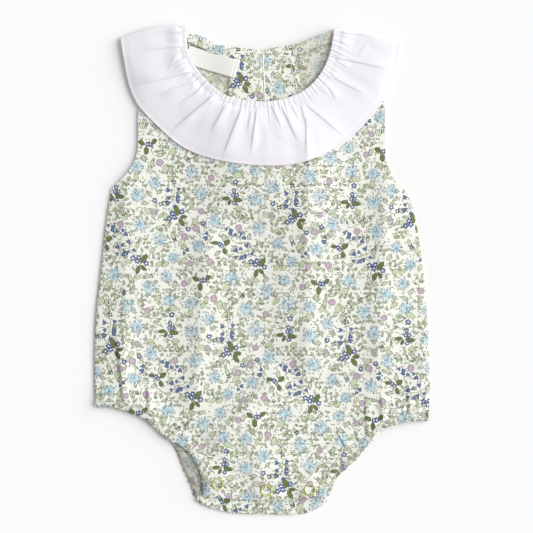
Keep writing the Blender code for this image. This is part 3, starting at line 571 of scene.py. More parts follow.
RUFFLE_CREASES = (
    Crease(-67.0, 197.5, -92.0, 198.6, 0.35, 1.8),
    Crease(-64.6, 186.4, -99.0, 182.8, 0.81, 2.4),
    Crease(-64.0, 191.0, -80.0, 190.0, 0.35, 1.8),
    Crease(-60.6, 175.6, -76.0, 170.0, 0.58, 2.0),
    Crease(-72.0, 178.0, -80.5, 163.0, 0.41, 2.4),
    Crease(-58.2, 165.3, -107.0, 153.0, 1.97, 3.0),
    Crease(-55.0, 156.5, -86.0, 147.0, 1.51, 2.6),
    Crease(-51.8, 149.2, -70.5, 137.5, 0.7, 2.4),
    Crease(-40.0, 145.0, -77.0, 114.5, 1.45, 2.8),
    Crease(-29.5, 137.5, -43.5, 113.5, 0.93, 2.2),
    Crease(-17.4, 132.8, -33.5, 92.0, 0.93, 2.6),
    Crease(-8.0, 134.0, -13.0, 113.0, 0.35, 2.0),
    Crease(-3.9, 135.0, -9.8, 94.0, 0.81, 2.4),
    Crease(8.0, 136.3, 16.5, 118.0, 0.52, 2.0),
    Crease(16.5, 135.5, 31.0, 105.0, 0.7, 2.2),
    Crease(25.0, 136.0, 31.0, 124.0, 0.41, 1.8),
    Crease(32.5, 137.0, 36.6, 120.0, 0.46, 1.8),
    Crease(36.6, 126.0, 36.6, 91.5, 0.52, 2.0),
    Crease(35.0, 139.0, 70.0, 110.0, 0.46, 1.8),
    Crease(56.0, 151.0, 62.0, 140.5, 0.41, 1.8),
    Crease(58.0, 160.6, 88.0, 145.0, 0.41, 1.8),
    Crease(62.0, 173.5, 73.0, 168.0, 0.35, 1.8),
    Crease(62.5, 176.6, 109.0, 166.6, 0.64, 2.0),
    Crease(80.0, 178.0, 87.0, 189.5, 0.29, 1.8),
    Crease(64.5, 190.0, 76.0, 183.0, 0.29, 1.8),
    Crease(66.0, 197.0, 94.0, 195.0, 0.52, 2.0),
)
print("creases:", len(LEG_FOLDS + BODY_FOLDS + RUFFLE_CREASES))

# %% [markdown]
# ## The upper side of the front
# It is the front's floor and thickness, the lift beside the elastic, and the folds. The
# snaps hold it flat, and the ruffle lies on it.

# %% Tops of the layers
def beside_snaps(x, y):
    """0 on the flat rounds that the snaps hold down, 1 elsewhere."""
    return 1.0 - bumps([Bump(p.x, p.y, 1.0, 6.4, 11.0) for p in SNAPS], x, y)


def leg_hems(x, y, hems):
    """The fraction along the nearer leg hem, and the distance from it."""
    sides = [run_coordinates(hem, x, y) for hem in hems]
    nearer = sides[0][1] < sides[1][1]
    return (np.where(nearer, sides[0][0], sides[1][0]),
            np.where(nearer, sides[0][1], sides[1][1]))


def hem_gathers(s, apart):
    """Gathers beside an elastic hem: the main ones, and fine ones that die out sooner."""
    reach = 17.0 + 9.0 * np.sin(37 * s + 2.0 * np.sin(17 * s))
    return (0.4 * creased(s, LEG_GATHERS) * ramp(apart, reach + 4.0, 5.0)
            + 0.16 * creased(s + 0.013, FINE_GATHERS) * ramp(apart, 12.0, 4.0))


def front_lift(x, y, apart):
    """The front stands off the back beside the leg hems, as the elastic makes it."""
    height = ramp(apart, 28.0, LEG_CASING_WIDTH + 3.0)
    return height * ramp(y, -176.0, -160.0) * beside_snaps(x, y)


LEFT_EDGE_FALL = 0.7   # how far the body comes down towards its left seam


def front_top(x, y):
    """The front's upper side, with its folds."""
    s, apart = leg_hems(x, y, FRONT_HEMS)
    _, from_left = run_coordinates(SIDE_RUNS[0], x, y)
    folds = (hem_gathers(s, apart) + ridges(LEG_FOLDS, x, y, 0.3, 2.8, trough=0.5)
             + broad_folds(x, y) * ramp(apart, 5.0, 24.0)
             - LEFT_EDGE_FALL * ramp(from_left, 15.0, 0.0))
    return front_floor(x, y) + front_lift(x, y, apart) + WALL + folds * beside_snaps(x, y)


def ruffle_floor(x, y):
    """Where the front ruffle lies: on the front, and lower beside the armholes."""
    reach = np.interp(y, [90.0, 125.0, 160.0, 196.0], [104.0, 103.2, 101.3, 98.0])
    beside = ramp(np.abs(x) - reach, -8.0, 17.0) * ramp(y, 88.0, 104.0)
    on_front = front_floor(x, y) + LAYER + EASE + broad_folds(x, y)
    on_table = EASE + RUFFLE_LIFT * over(y, back_ruffle_hem(x))
    return on_front + 0.5 * (on_table - on_front) * beside


print("top of the front in the middle:", front_top(np.zeros(1), np.zeros(1)).round(2), "mm")

# %% [markdown]
# ## Colours and a node helper
# Colours are picked as sRGB hex values, as one reads them from a swatch. Cycles works in
# linear light, so one function converts them. One small function adds any shader node with
# its settings and links, and one links a finish's colour and fine relief to its shader.

# %% Colour and node helpers
def linear(hex_colour):
    """sRGB hex to linear RGB."""
    rgb = [int(hex_colour[k:k + 2], 16) / 255.0 for k in (0, 2, 4)]
    return [c / 12.92 if c <= 0.04045 else ((c + 0.055) / 1.055)**2.4 for c in rgb]


def add_node(material, kind, settings, inputs):
    """One shader node; an input is either a value or the socket that feeds it."""
    node = material.node_tree.nodes.new("ShaderNode" + kind)
    for name, value in settings.items():
        setattr(node, name, value)
    for key, value in inputs.items():
        if isinstance(value, bpy.types.NodeSocket):
            material.node_tree.links.new(value, node.inputs[key])
        else:
            node.inputs[key].default_value = value
    return node


def new_material(name, roughness, **sockets):
    """A material with one Principled shader; constants go straight on its sockets."""
    material = bpy.data.materials.new(name)
    material.use_nodes = True
    shader = material.node_tree.nodes["Principled BSDF"]
    shader.inputs["Roughness"].default_value = roughness
    for key, value in sockets.items():
        shader.inputs[key.replace("_", " ")].default_value = value
    return material, shader


def calc(material, operation, *values):
    """One Math node."""
    return add_node(material, "Math", {"operation": operation},
                    dict(enumerate(values))).outputs[0]


def swatch(material, hex_colour):
    """A plain colour as a socket that other nodes can read."""
    socket = add_node(material, "RGB", {}, {}).outputs[0]
    socket.default_value = (*linear(hex_colour), 1.0)
    return socket


def finished(material, shader, colour, height=None, strength=0.3, depth=0.3):
    """Links the colour to the shader and, where given, a relief up to depth mm deep."""
    links = material.node_tree.links
    links.new(colour, shader.inputs["Base Color"])
    if height is not None:
        relief = add_node(material, "Bump", {}, {"Height": height, "Strength": strength,
                                                 "Distance": depth * MM})
        links.new(relief.outputs[0], shader.inputs["Normal"])
    return material


print("paper white in linear light:", [round(c, 3) for c in linear("FAFAFA")])

# %% [markdown]
# ## Weave and dye
# Cotton lawn is light and plain-woven. It is matt, with a faint weave and slightly uneven
# dye, so the eye reads it as soft and dry. The real thread spacing is 0.3 mm. It is too fine
# to show, so it is drawn at 0.9 mm.

# %% Weave and dye
PRINTED_WEAVE, WHITE_WEAVE = 0.9, 0.8   # thread spacing as drawn, mm
MATT_COTTON = 0.25                      # specular level: dry fibre hardly glints
WHITE_SHEEN, PRINT_SHEEN = 0.12, 0.08   # fine fuzz, pressed flatter where it is printed


def weave_height(material, pitch):
    """Crossing threads, plus the slow unevenness of hand-ironed cloth."""
    place = add_node(material, "TexCoord", {}, {}).outputs["Object"]
    scale = 1.0 / (pitch * MM * 2)
    threads = []
    for direction in ("X", "Y"):
        wave = add_node(material, "TexWave", {"bands_direction": direction},
                        {"Vector": place, "Scale": scale / 3.14, "Distortion": 1.2,
                         "Detail": 1.0, "Detail Scale": 1.5})
        threads.append(wave.outputs["Fac"])
    weave = calc(material, "ADD", *threads)
    crush = add_node(material, "TexNoise", {}, {"Vector": place, "Scale": 140.0, "Detail": 3.0})
    return calc(material, "ADD", calc(material, "MULTIPLY", weave, 0.06),
                calc(material, "MULTIPLY", crush.outputs["Fac"], 0.8))


def uneven(material, colour, amount):
    """The colour with a cloudy lightness, as dye takes unevenly."""
    place = add_node(material, "TexCoord", {}, {}).outputs["Object"]
    cloud = add_node(material, "TexNoise", {}, {"Vector": place, "Scale": 260.0, "Detail": 4.0})
    level = add_node(material, "MapRange", {}, {"Value": cloud.outputs["Fac"],
                     "From Min": 0.3, "From Max": 0.7, "To Min": 1.0 - amount, "To Max": 1.0})
    return add_node(material, "VectorMath", {"operation": "SCALE"},
                    {0: colour, "Scale": level.outputs[0]}).outputs[0]


def tinted(material, amount, under, ink):
    """An ink, as a hex colour or a socket, laid over a colour where amount is 1."""
    over_ink = (*linear(ink), 1.0) if isinstance(ink, str) else ink
    return add_node(material, "Mix", {"data_type": "RGBA"},
                    {0: amount, 6: under, 7: over_ink}).outputs[2]


print("weave as drawn:", PRINTED_WEAVE, "and", WHITE_WEAVE, "mm")

# %% [markdown]
# ## The leaves between the flowers
# The flowers are drawn into the mesh (see below). Thousands of tiny leaves fill the ground
# between them, and those are drawn in the finish, where they cost no triangles: a cell
# pattern gives each its place, its turn and the chance to be left out.

# %% Filler leaves
# One leaf to a cell of so many mm. The outline is a share of the leaf's half width, and
# share says how many of the cells hold a leaf.
Filler = namedtuple("Filler", "cell length width outline share line fill")
FILLERS = (
    Filler(5.4, 4.6, 2.3, 0.42, 0.4, "7F8764", "DCE0CD"),
    Filler(3.2, 2.6, 0.75, 1.0, 0.5, "858973", "858973"),
    Filler(3.9, 3.0, 0.6, 1.0, 0.36, "50563F", "50563F"),
)


def filler_leaves(material, ground, row):
    """Small outlined leaves between the flowers, one to a cell, each turned its own way."""
    place = add_node(material, "TexCoord", {}, {}).outputs["Object"]
    apart = (row.cell, row.cell, 0.0)   # far from the other rows' cells
    place = add_node(material, "VectorMath", {"operation": "ADD"},
                     {0: place, 1: apart}).outputs[0]
    cells = add_node(material, "TexVoronoi", {"voronoi_dimensions": "2D"},
                     {"Vector": place, "Scale": 1 / (row.cell * MM), "Randomness": 0.9})
    chance = add_node(material, "SeparateColor", {}, {0: cells.outputs["Color"]}).outputs
    local = add_node(material, "VectorMath", {"operation": "SUBTRACT"},
                     {0: place, 1: cells.outputs["Position"]}).outputs[0]
    angle = calc(material, "MULTIPLY", chance[0], 4 * math.pi)
    local = add_node(material, "VectorRotate", {"rotation_type": "Z_AXIS"},
                     {"Vector": local, "Angle": angle}).outputs[0]
    x, y, _ = add_node(material, "SeparateXYZ", {}, {0: local}).outputs
    x = calc(material, "DIVIDE", x, row.length / 2 * MM)
    square = calc(material, "MULTIPLY", x, x)
    lens = calc(material, "SUBTRACT", 1.0, square)
    bend = calc(material, "MULTIPLY_ADD", chance[2], 0.4 * row.length * MM,
                -0.2 * row.length * MM)
    y = calc(material, "MULTIPLY_ADD", square, bend, y)
    half = calc(material, "MAXIMUM", calc(material, "MULTIPLY", lens, row.width / 2 * MM), 1e-6)
    side = calc(material, "ABSOLUTE", y)
    part = calc(material, "DIVIDE", side, half)
    shown = calc(material, "LESS_THAN", chance[1], row.share)
    leaf_mask = calc(material, "MULTIPLY", shown, calc(material, "LESS_THAN", part, 1.0))
    line = calc(material, "MAXIMUM", calc(material, "GREATER_THAN", part, 1 - row.outline),
                calc(material, "LESS_THAN", side, 0.22 * MM))
    filled = tinted(material, leaf_mask, ground, row.fill)
    return tinted(material, calc(material, "MULTIPLY", leaf_mask, line), filled, row.line)


print("kinds of filler leaf:", len(FILLERS))

# %% [markdown]
# ## The printed cotton
# Lawn printed with pigment in flat colours on off-white. The finish reads the flowers from
# the mesh's colour attribute and lays them over the small leaves. The back of such cloth
# shows the print washed out; here it is mixed towards a grey darker than the ground, which is
# partly painted shade. Where a hem is drawn together, the motifs stand closer and each gather
# shades the next; its deeper tone is painted, partly for the closer motifs and partly as shade.

# %% Printed cotton
GROUND = "F2F3EA"


def printed_cotton(name, fade_and_shade_share, fade_and_shade_colour="CDCDB9"):
    """The print, mixed by a share towards a colour: a washed-out wrong side, and painted shade
    where that colour is darker than the ground.
    """
    material, shader = new_material(name, 0.88, Sheen_Weight=PRINT_SHEEN,
                                    Specular_IOR_Level=MATT_COTTON)
    motifs = add_node(material, "Attribute", {"attribute_name": "print"}, {})
    ground = swatch(material, GROUND)
    for row in FILLERS:
        ground = filler_leaves(material, ground, row)
    colour = tinted(material, motifs.outputs["Alpha"], ground, motifs.outputs["Color"])
    # Mixes towards the fade colour: a washed-out wrong side, and painted shade where it is darker than the ground.
    faded_and_shaded = tinted(material, fade_and_shade_share, colour, fade_and_shade_colour)
    return finished(material, shader, uneven(material, faded_and_shaded, 0.06),
                    weave_height(material, PRINTED_WEAVE), 0.35, 0.35)


# The printed side: full colour on off-white.
PRINT_FACE = printed_cotton("cotton_lawn_print_face", 0.0)
# The facings' printed side, mixed a touch towards the darker fade colour.
PRINT_INNER = printed_cotton("cotton_lawn_print_facing", 0.03)
# The wrong side: the print shows through, washed out, and darkened below the ground as painted shade.
PRINT_BACK_PAINTED_SHADE = printed_cotton("cotton_lawn_print_back", 0.42)
# The wrong side, drawn together in a hem: washed out, and greyed far below the ground by painted shade.
PRINT_HEM_PAINTED_SHADE = printed_cotton("cotton_lawn_print_hem_inside", 0.5, "8F897D")
# The printed side drawn together in a hem: a darker, greener tone, partly for the closer motifs and partly painted
# shade between the gathers.
PRINT_GATHERED_PAINTED_SHADE = printed_cotton("cotton_lawn_print_gathered", 0.13, "6F745F")
print("finishes:", PRINT_FACE.name, PRINT_BACK_PAINTED_SHADE.name)

# %% [markdown]
# ## The white cotton
# The ruffle and its heading are bleached cotton lawn. It has a trace of violet-blue, as
# optical brightener gives, and a fine weave that softens every highlight, so the folds show
# as soft greys. Sewing thread is cotton too, a little warmer than the cloth.

# %% White cotton
def plain_cotton(name, hex_colour):
    material, shader = new_material(name, 0.85, Sheen_Weight=WHITE_SHEEN,
                                    Specular_IOR_Level=MATT_COTTON)
    return finished(material, shader, uneven(material, swatch(material, hex_colour), 0.015),
                    weave_height(material, WHITE_WEAVE))


WHITE_COTTON = plain_cotton("cotton_lawn_bleached", "F1EFF4")
THREAD = plain_cotton("sewing_thread_ecru", "EFEFE4")
OVERLOCK_THREAD = plain_cotton("overlock_thread_grey", "E6E6DC")
print("finish:", WHITE_COTTON.name)

# %% [markdown]
# ## Inks and simple shapes
# The print is an ordinary ditsy floral: pale-blue daisies, mauve blossoms, olive leaves with
# small navy flowers, bells, outlined leaves and stems. Each motif is a few flat polygons with
# an ink name, made from blades, slivers, discs and ribbons. The inks are listed from the
# lowest layer to the top one.

# %% Inks and shapes
INKS = {
    "stem": "979C80", "stroke": "696E56", "sage line": "8A9866", "sage": "D7DFC3",
    "leaf line": "626B4C", "leaf": "DDE1CF", "vein": "939B79", "mist": "DDE9E9",
    "petal": "BBD3DC", "petal deep": "9DBED0", "petal line": "3F6279", "centre": "A9CDD8",
    "petal dark": "35617C", "mauve edge": "A38B9D", "mauve": "BFA9B9", "mauve pale": "D2C3CE",
    "mauve deep": "94798B", "olive dark": "3F4529", "olive": "79834F", "olive vein": "4F5830",
    "navy": "4A5E8A", "navy pale": "93A3BD", "navy dark": "333D55", "white": "F7F8F6",
}
LAYERS = list(INKS)
WOBBLE = random.Random(11)


def turned(points, x, y, turn):
    """The points turned about the origin and then moved to x, y."""
    c, s = math.cos(turn), math.sin(turn)
    points = np.array(points)
    return points @ np.array([[c, s], [-s, c]]) + (x, y)


def blade(start, length, half_width):
    """A pointed petal or leaf along +X."""
    upper = [(start, 0.0), (start + 0.3 * length, 0.88 * half_width),
             (start + 0.7 * length, 0.86 * half_width), (start + length, 0.0)]
    return upper + [(px, -py) for px, py in upper[-2:0:-1]]


def sliver(length, half_width, start=0.0):
    middle = start + 0.5 * length
    return [(start, 0.0), (middle, -half_width), (start + length, 0.0), (middle, half_width)]


def disc_of(radius, corners, wobble=0.0):
    angles = np.linspace(0.0, 2 * math.pi, corners, endpoint=False)
    return [(radius * (1 + wobble * WOBBLE.uniform(-1, 1)) * math.cos(a),
             radius * (1 + wobble * WOBBLE.uniform(-1, 1)) * math.sin(a)) for a in angles]


def ribbon(length, bend, half_width, parts=4):
    """A thin curved stem along +X."""
    t = np.linspace(0.0, 1.0, parts)
    x, y = t * length, bend * length * np.sin(math.pi * t)
    return list(zip(x, y + half_width)) + list(zip(x[::-1], y[::-1] - half_width))


def placed(shapes, x, y, turn):
    """A motif's inked polygons, turned and moved."""
    return [(ink, turned(points, x, y, turn)) for ink, points in shapes]


print("inks:", len(INKS))

# %% [markdown]
# ## Single flowers and leaves
# A drawn print gains from small accidents, so petals differ a little in length and turn.
# One seeded source of chance keeps them the same in every run.

# %% Single motifs
def daisy(size, rays=17):
    """Wispy rays: thin pale petals with thin dark lines between them, and a shaded centre."""
    shapes = [("mist", disc_of(0.34 * size, 9, 0.25))]
    for k in range(rays):
        angle = 2 * math.pi * (k + WOBBLE.uniform(-0.25, 0.25)) / rays
        petal = sliver(size * WOBBLE.uniform(0.6, 0.9), 0.3, 0.1 * size)
        shapes.append((("petal", "petal deep")[k % 2], turned(petal, 0, 0, angle)))
        line = sliver(size * WOBBLE.uniform(0.3, 0.6), 0.22, WOBBLE.uniform(0.22, 0.4) * size)
        shapes.append(("petal line", turned(line, 0, 0, angle + 0.12)))
    shapes.append(("centre", turned(disc_of(0.22 * size, 7, 0.2), -0.04 * size, 0, 0)))
    for turn in (-0.3, 0.9):
        arc = turned(ribbon(0.3 * size, 0.3, 0.3), 0.12 * size, 0.02 * size, 1.2)
        shapes.append(("petal dark", turned(arc, 0, 0, turn)))
    return shapes


def blossom(size):
    shapes = [("mauve edge", disc_of(size, 10, 0.06)), ("mauve", disc_of(size - 0.45, 9, 0.06)),
              ("mauve pale", disc_of(0.55 * size, 8, 0.1))]
    for turn in (0.3, 2.5, 4.4):
        shapes.append(("mauve deep", turned(ribbon(0.6 * size, 0.35, 0.2), 0.2, -0.1, turn)))
    return shapes


def leaf(size, line, fill, width=0.27):
    half = width * size
    return [(line, blade(0.0, size, half)), (fill, blade(0.65, size - 1.7, half - 0.55)),
            ("olive vein" if fill == "olive" else "vein", sliver(0.7 * size, 0.24, 0.1 * size))]


def pale_leaf(size):
    return leaf(size, "leaf line", "leaf", 0.25)


def fresh_leaf(size):
    return leaf(size, "sage line", "sage", 0.3)


def curled_leaf(size):
    """Seen side on: a crescent with one dark edge."""
    return [("leaf line", ribbon(size, 0.24, 0.3)), ("leaf", ribbon(size, 0.14, 0.45)),
            ("stroke", ribbon(0.8 * size, -0.05, 0.24))]


def floret(size, petals=5):
    shapes = []
    for k in range(petals):
        angle = 2 * math.pi * (k + 0.3) / petals
        at = (0.62 * size * math.cos(angle), 0.62 * size * math.sin(angle))
        shapes.append(("navy", turned(disc_of(0.4 * size, 5, 0.1), *at, angle)))
    shapes.append(("white", disc_of(0.27 * size, 4)))
    return shapes


def tiny_floret(size):
    return [("navy dark", turned(disc_of(0.42 * size, 4), 0.6 * size * math.cos(angle),
                                 0.6 * size * math.sin(angle), angle))
            for angle in (0.4, 1.9, 3.6, 5.1)]


def bell(size):
    cup = [(0.0, -0.18 * size), (0.5 * size, -0.5 * size), (size, -0.45 * size),
           (0.82 * size, 0.0), (size, 0.45 * size), (0.5 * size, 0.5 * size), (0.0, 0.18 * size)]
    return [("navy", cup), ("navy pale", sliver(0.6 * size, 0.14 * size, 0.2 * size)),
            ("stroke", ribbon(0.7 * size, 0.2, 0.2, 3)[::-1] + np.array((-0.7 * size, 0.0)))]


print("polygons in a pale leaf:", len(pale_leaf(7.0)))

# %% [markdown]
# ## Sprays
# Single flowers and leaves are set together into clusters, sprigs and trailing sprays, the
# motifs that the eye picks out from a distance.

# %% Sprays
def leaf_cluster(size):
    """Two or three solid leaves with small flowers between them."""
    shapes = []
    for angle, scale in ((1.8, 1.0), (-1.0, 0.85), (0.05, 0.7)):
        leaf_size = 1.1 * size * scale
        shapes += placed(leaf(leaf_size, "olive dark", "olive", 0.26), 0.8 * math.cos(angle),
                         0.8 * math.sin(angle), angle)
    for angle, reach in ((1.0, 0.62), (3.1, 0.36), (3.3, 0.85), (2.6, 0.62)):
        shapes += placed(floret(0.29 * size), reach * size * math.cos(angle),
                         reach * size * math.sin(angle), angle)
    return shapes


def leaf_trio(size):
    """The same leaves set the other way round a row of small flowers."""
    shapes = []
    for x, y, angle, scale in ((0.5, 2.5, 2.1, 0.8), (1.2, -1.8, -0.2, 0.95),
                               (0.0, -2.6, 4.0, 0.85)):
        shapes += placed(leaf(1.05 * size * scale, "olive dark", "olive", 0.31), x, y, angle)
    for y in (1.7, -0.4):
        shapes += placed(floret(0.31 * size), 0.2 * y, y, y)
    return shapes


def bell_spray(size):
    shapes = [("stem", ribbon(1.8 * size, 0.14, 0.24, 6))]
    for x, y, turn, scale in ((0.0, 0.3, 1.2, 0.9), (0.42, -0.25, -1.3, 1.0),
                              (0.6, 0.5, 0.6, 1.1), (0.98, -0.1, -0.5, 0.85),
                              (1.15, 0.55, 1.5, 1.0), (1.5, 0.1, -0.9, 1.1),
                              (1.6, 0.55, 0.3, 0.8)):
        shapes += placed(bell(0.42 * size * scale), x * size, y * size, turn)
    return placed(shapes, -0.9 * size, 0.0, 0.0)


def bell_pair(size):
    return placed(bell(size), 0.5, 0.4, 0.9) + placed(bell(0.8 * size), 0.3, -1.6, -0.4)


def sprig(size):
    """A stem with outlined leaves on both sides."""
    shapes = [("stroke", ribbon(2 * size, 0.12, 0.22, 5))]
    for k in range(5):
        side = 1 if k % 2 else -1
        grown = size * WOBBLE.uniform(0.55, 0.8)
        shapes += placed((pale_leaf, fresh_leaf)[k % 2](grown), size * (0.2 + 0.4 * k),
                         0.18 * size * math.sin(0.6 * k) + 0.3 * side, side * 0.9)
    return placed(shapes, -size, 0.0, 0.0)


def curl(size):
    bend = WOBBLE.choice((-0.3, 0.3))
    return [(WOBBLE.choice(("stem", "stroke")), ribbon(2 * size, bend, 0.27))]


print("polygons in a bell spray:", len(bell_spray(8.6)))

# %% [markdown]
# ## One repeat of the print
# The repeat is set on a slant, as printers do, so that no rows show. The motifs' places in
# it are chosen by a seeded rule that always takes the roomiest of many tries, as a print
# designer fills gaps.

# %% The repeat
Kind = namedtuple("Kind", "draw count size room")   # room: how far others keep away, mm
KINDS = (
    Kind(leaf_cluster, 3, 8.4, 8.4), Kind(leaf_trio, 2, 8.2, 7.4), Kind(daisy, 14, 8.4, 7.0),
    Kind(bell_spray, 2, 8.6, 7.2), Kind(blossom, 10, 2.8, 3.6), Kind(sprig, 17, 6.4, 4.6),
    Kind(bell_pair, 5, 3.7, 2.6), Kind(floret, 4, 2.4, 2.2), Kind(tiny_floret, 7, 2.1, 2.0),
    Kind(fresh_leaf, 24, 8.2, 3.4), Kind(pale_leaf, 36, 7.0, 3.0), Kind(curled_leaf, 36, 5.8, 2.3),
    Kind(curl, 46, 2.4, 1.8),
)
REPEAT_ACROSS, REPEAT_UP = np.array((98.0, -3.0)), np.array((-45.0, 113.0))


def fill_repeat():
    """Places every motif of one repeat, the large ones first."""
    pick, tries_each = random.Random(5), 40
    neighbours = [i * REPEAT_ACROSS + j * REPEAT_UP for i in (-1, 0, 1) for j in (-1, 0, 1)]
    spots, rooms, shapes = [], [], []
    for kind in KINDS:
        for _ in range(kind.count):
            tries = []
            for _ in range(tries_each):
                spot = pick.random() * REPEAT_ACROSS + pick.random() * REPEAT_UP
                free = 99.0
                if spots:
                    away = np.linalg.norm(np.array(spots)[:, None] + neighbours - spot, axis=2)
                    free = (away.min(axis=1) - rooms).min()
                tries.append((free, tuple(spot)))
            spot = max(tries)[1]
            spots.append(spot)
            rooms.append(kind.room)
            size = kind.size * pick.uniform(0.85, 1.1)
            shapes.append(placed(kind.draw(size), *spot, pick.uniform(0, 2 * math.pi)))
    return shapes


REPEAT = fill_repeat()
print("motifs in a repeat:", len(REPEAT), "polygons:", sum(len(m) for m in REPEAT))

# %% [markdown]
# ## Points for an even mesh
# A flat outline is filled with points at the corners of even triangles. They stand closer
# where the cloth is gathered, and in rows along each crease of the leg hems.

# %% Points in an outline
def inside(outline, points):
    """Which points lie in a closed outline, by counting its crossings."""
    x, y = points[:, 0], points[:, 1]
    within = np.zeros(len(points), dtype=bool)
    for (x0, y0), (x1, y1) in zip(outline, np.roll(outline, -1, axis=0)):
        if y0 != y1:
            crosses = (y0 > y) != (y1 > y)
            within ^= crosses & (x < (x1 - x0) * (y - y0) / (y1 - y0) + x0)
    return within


def counter_clockwise(points):
    """The outline in the direction that the triangulation needs."""
    x, y = points.T
    return points if (x * np.roll(y, -1) - np.roll(x, -1) * y).sum() > 0 else points[::-1]


def lattice(spacing, low, high):
    """Points at the corners of even triangles."""
    rows = np.arange(low[1], high[1] + spacing, spacing * 0.866)
    columns = np.arange(low[0], high[0] + spacing, spacing)
    return np.array([(x + (k % 2) * spacing / 2, y) for k, y in enumerate(rows)
                     for x in columns])


def beside_crease(crease):
    """Extra rows of points along a crease, so that its sharp side is cut cleanly."""
    start, end = np.array(crease[:2]), np.array(crease[2:4])
    side = np.array((start[1] - end[1], end[0] - start[0])) / np.linalg.norm(end - start)
    steps = np.linspace(-0.1, 1.05, round(np.linalg.norm(end - start) / 2.2))[:, None]
    rows = [start + steps * (end - start) + reach * crease.width * side
            for reach in (-1.6, -0.8, -0.5, -0.25, 0.0, 0.25, 0.5, 0.8, 1.6)]
    return np.vstack(rows)


print("points on 100 x 100 mm:", len(lattice(3.8, (0.0, 0.0), (100.0, 100.0))))

# %% [markdown]
# ## Which motifs a piece gets
# The repeat is laid over the whole garment, and a piece takes the polygons that touch it.
# The top motif wins where two overlap, so they are sorted by ink.

# %% Motifs on a piece
FINE_LINES = ("stem", "vein", "olive vein", "petal deep", "petal dark", "mauve edge",
              "mauve deep", "navy pale", "stroke")


def nowhere(x, y):
    return np.zeros(len(x), dtype=bool)


def everywhere(x, y):
    return np.ones(len(x), dtype=bool)


def printed_polygons(outline, hidden, covered):
    """Every motif polygon that can touch the outline, by ink layers. None is made where the
    cloth is hidden for good, and no fine lines where another layer only covers it."""
    low, high = outline.min(axis=0) - 9.0, outline.max(axis=0) + 9.0
    found = []
    for i in range(-4, 5):
        for j in range(-4, 5):
            shift = i * REPEAT_ACROSS + j * REPEAT_UP
            for motif in REPEAT:
                where = motif[0][1].mean(axis=0) + shift
                if (where > low).all() and (where < high).all():
                    found += [(ink, counter_clockwise(points + shift)) for ink, points in motif]
    centres = np.array([points.mean(axis=0) for _, points in found])
    _, apart = run_coordinates(np.vstack([outline, outline[:1]]), *centres.T)
    fine = np.array([ink in FINE_LINES for ink, _ in found])
    kept = ((inside(outline, centres) | (apart < 8.0)) & ~hidden(*centres.T)
            & ~(covered(*centres.T) & fine))
    found = [shape for shape, keep in zip(found, kept) if keep]
    return sorted(found, key=lambda shape: LAYERS.index(shape[0]))


print("inks of fine lines:", len(FINE_LINES))

# %% [markdown]
# ## Cloth as a thin shell
# Cloth is modelled as its upper side only, and a Solidify modifier gives it thickness
# downwards, with the far side's own finish.

# %% Cloth objects
CLOTH = 0.5    # thickness of a shell, mm


def cloth_object(name, places, faces, materials, inks=None, thickness=CLOTH):
    """A mesh from places in mm; the last material is on the far side of a thick one."""
    mesh = bpy.data.meshes.new(name)
    mesh.from_pydata((np.array(places) * MM).tolist(), [], faces)
    if inks is not None:
        layer = mesh.color_attributes.new("print", "FLOAT_COLOR", "CORNER")
        sizes = [len(face) for face in faces]
        layer.data.foreach_set("color", np.repeat(inks, sizes, axis=0).astype(np.float32).ravel())
    mesh.shade_smooth()
    for material in materials:
        mesh.materials.append(material)
    made = bpy.data.objects.new(name, mesh)
    bpy.context.scene.collection.objects.link(made)
    if thickness:
        shell = made.modifiers.new("cloth thickness", "SOLIDIFY")
        shell.thickness = thickness * MM
        shell.offset = -1.0
        shell.material_offset = len(materials) - 1
    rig.ride(made, "root")
    return made


print("a shell is", CLOTH, "mm thick")

# %% [markdown]
# ## The print cut into the cloth
# The motifs' polygons are cut into the same triangulation as the cloth's own points, so each
# triangle lies in one motif or in the ground and takes that ink. The edges of the flowers
# stay sharp at any distance and go along in the export, which an image would not. Then the
# points are lifted to the cloth's height.

# %% Printed pieces
def printed_piece(name, outline, spacing, surface, materials, fine=None, hidden=nowhere,
                  covered=nowhere, thickness=CLOTH):
    """A cut piece of printed cloth. The surface function gives each flat point its place.
    Points stand spacing mm apart, or closer, by the pair in fine, where that says."""
    outline = counter_clockwise(outline)
    low, high = outline.min(axis=0), outline.max(axis=0)
    grid = lattice(spacing, low, high)
    if fine:
        spacing, where = fine
        closer = lattice(spacing, low, high)
        grid = np.vstack([grid[~where(*grid.T)], closer[where(*closer.T)],
                          *[beside_crease(crease) for crease in LEG_FOLDS]])
    grid = grid[inside(outline, grid)]
    _, apart = run_coordinates(np.vstack([outline, outline[:1]]), *grid.T)
    grid = grid[apart > 0.4 * spacing]
    shapes = printed_polygons(outline, hidden, covered)
    points = np.vstack([outline, grid, *[points for _, points in shapes]])
    rings, start = [list(range(len(outline)))], len(outline) + len(grid)
    for _, polygon in shapes:
        rings.append(list(range(start, start + len(polygon))))
        start += len(polygon)
    # Output type 1 keeps what is inside the rings; owners says which rings hold each face.
    verts, _, faces, _, _, owners = geometry.delaunay_2d_cdt(
        [Vector(point) for point in points], [], rings, 1, 1e-5)
    palette = {ink: (*linear(colour), 1.0) for ink, colour in INKS.items()}
    ground = (*linear(GROUND), 0.0)
    kept = [(face, max(owner)) for face, owner in zip(faces, owners) if 0 in owner]
    inks = [palette[shapes[top - 1][0]] if top else ground for _, top in kept]
    flat = np.array([tuple(vert) for vert in verts])
    used = np.unique(np.concatenate([face for face, _ in kept]))
    renumber = {old: new for new, old in enumerate(used.tolist())}
    faces = [[renumber[k] for k in face] for face, _ in kept]
    x, y = flat[used].T
    made = cloth_object(name, np.column_stack(surface(x, y)), faces, materials, inks,
                        thickness)
    print(name, len(faces), "triangles")
    return made


def upper(height):
    """A surface that keeps x and y."""
    return lambda x, y: (x, y, height(x, y))


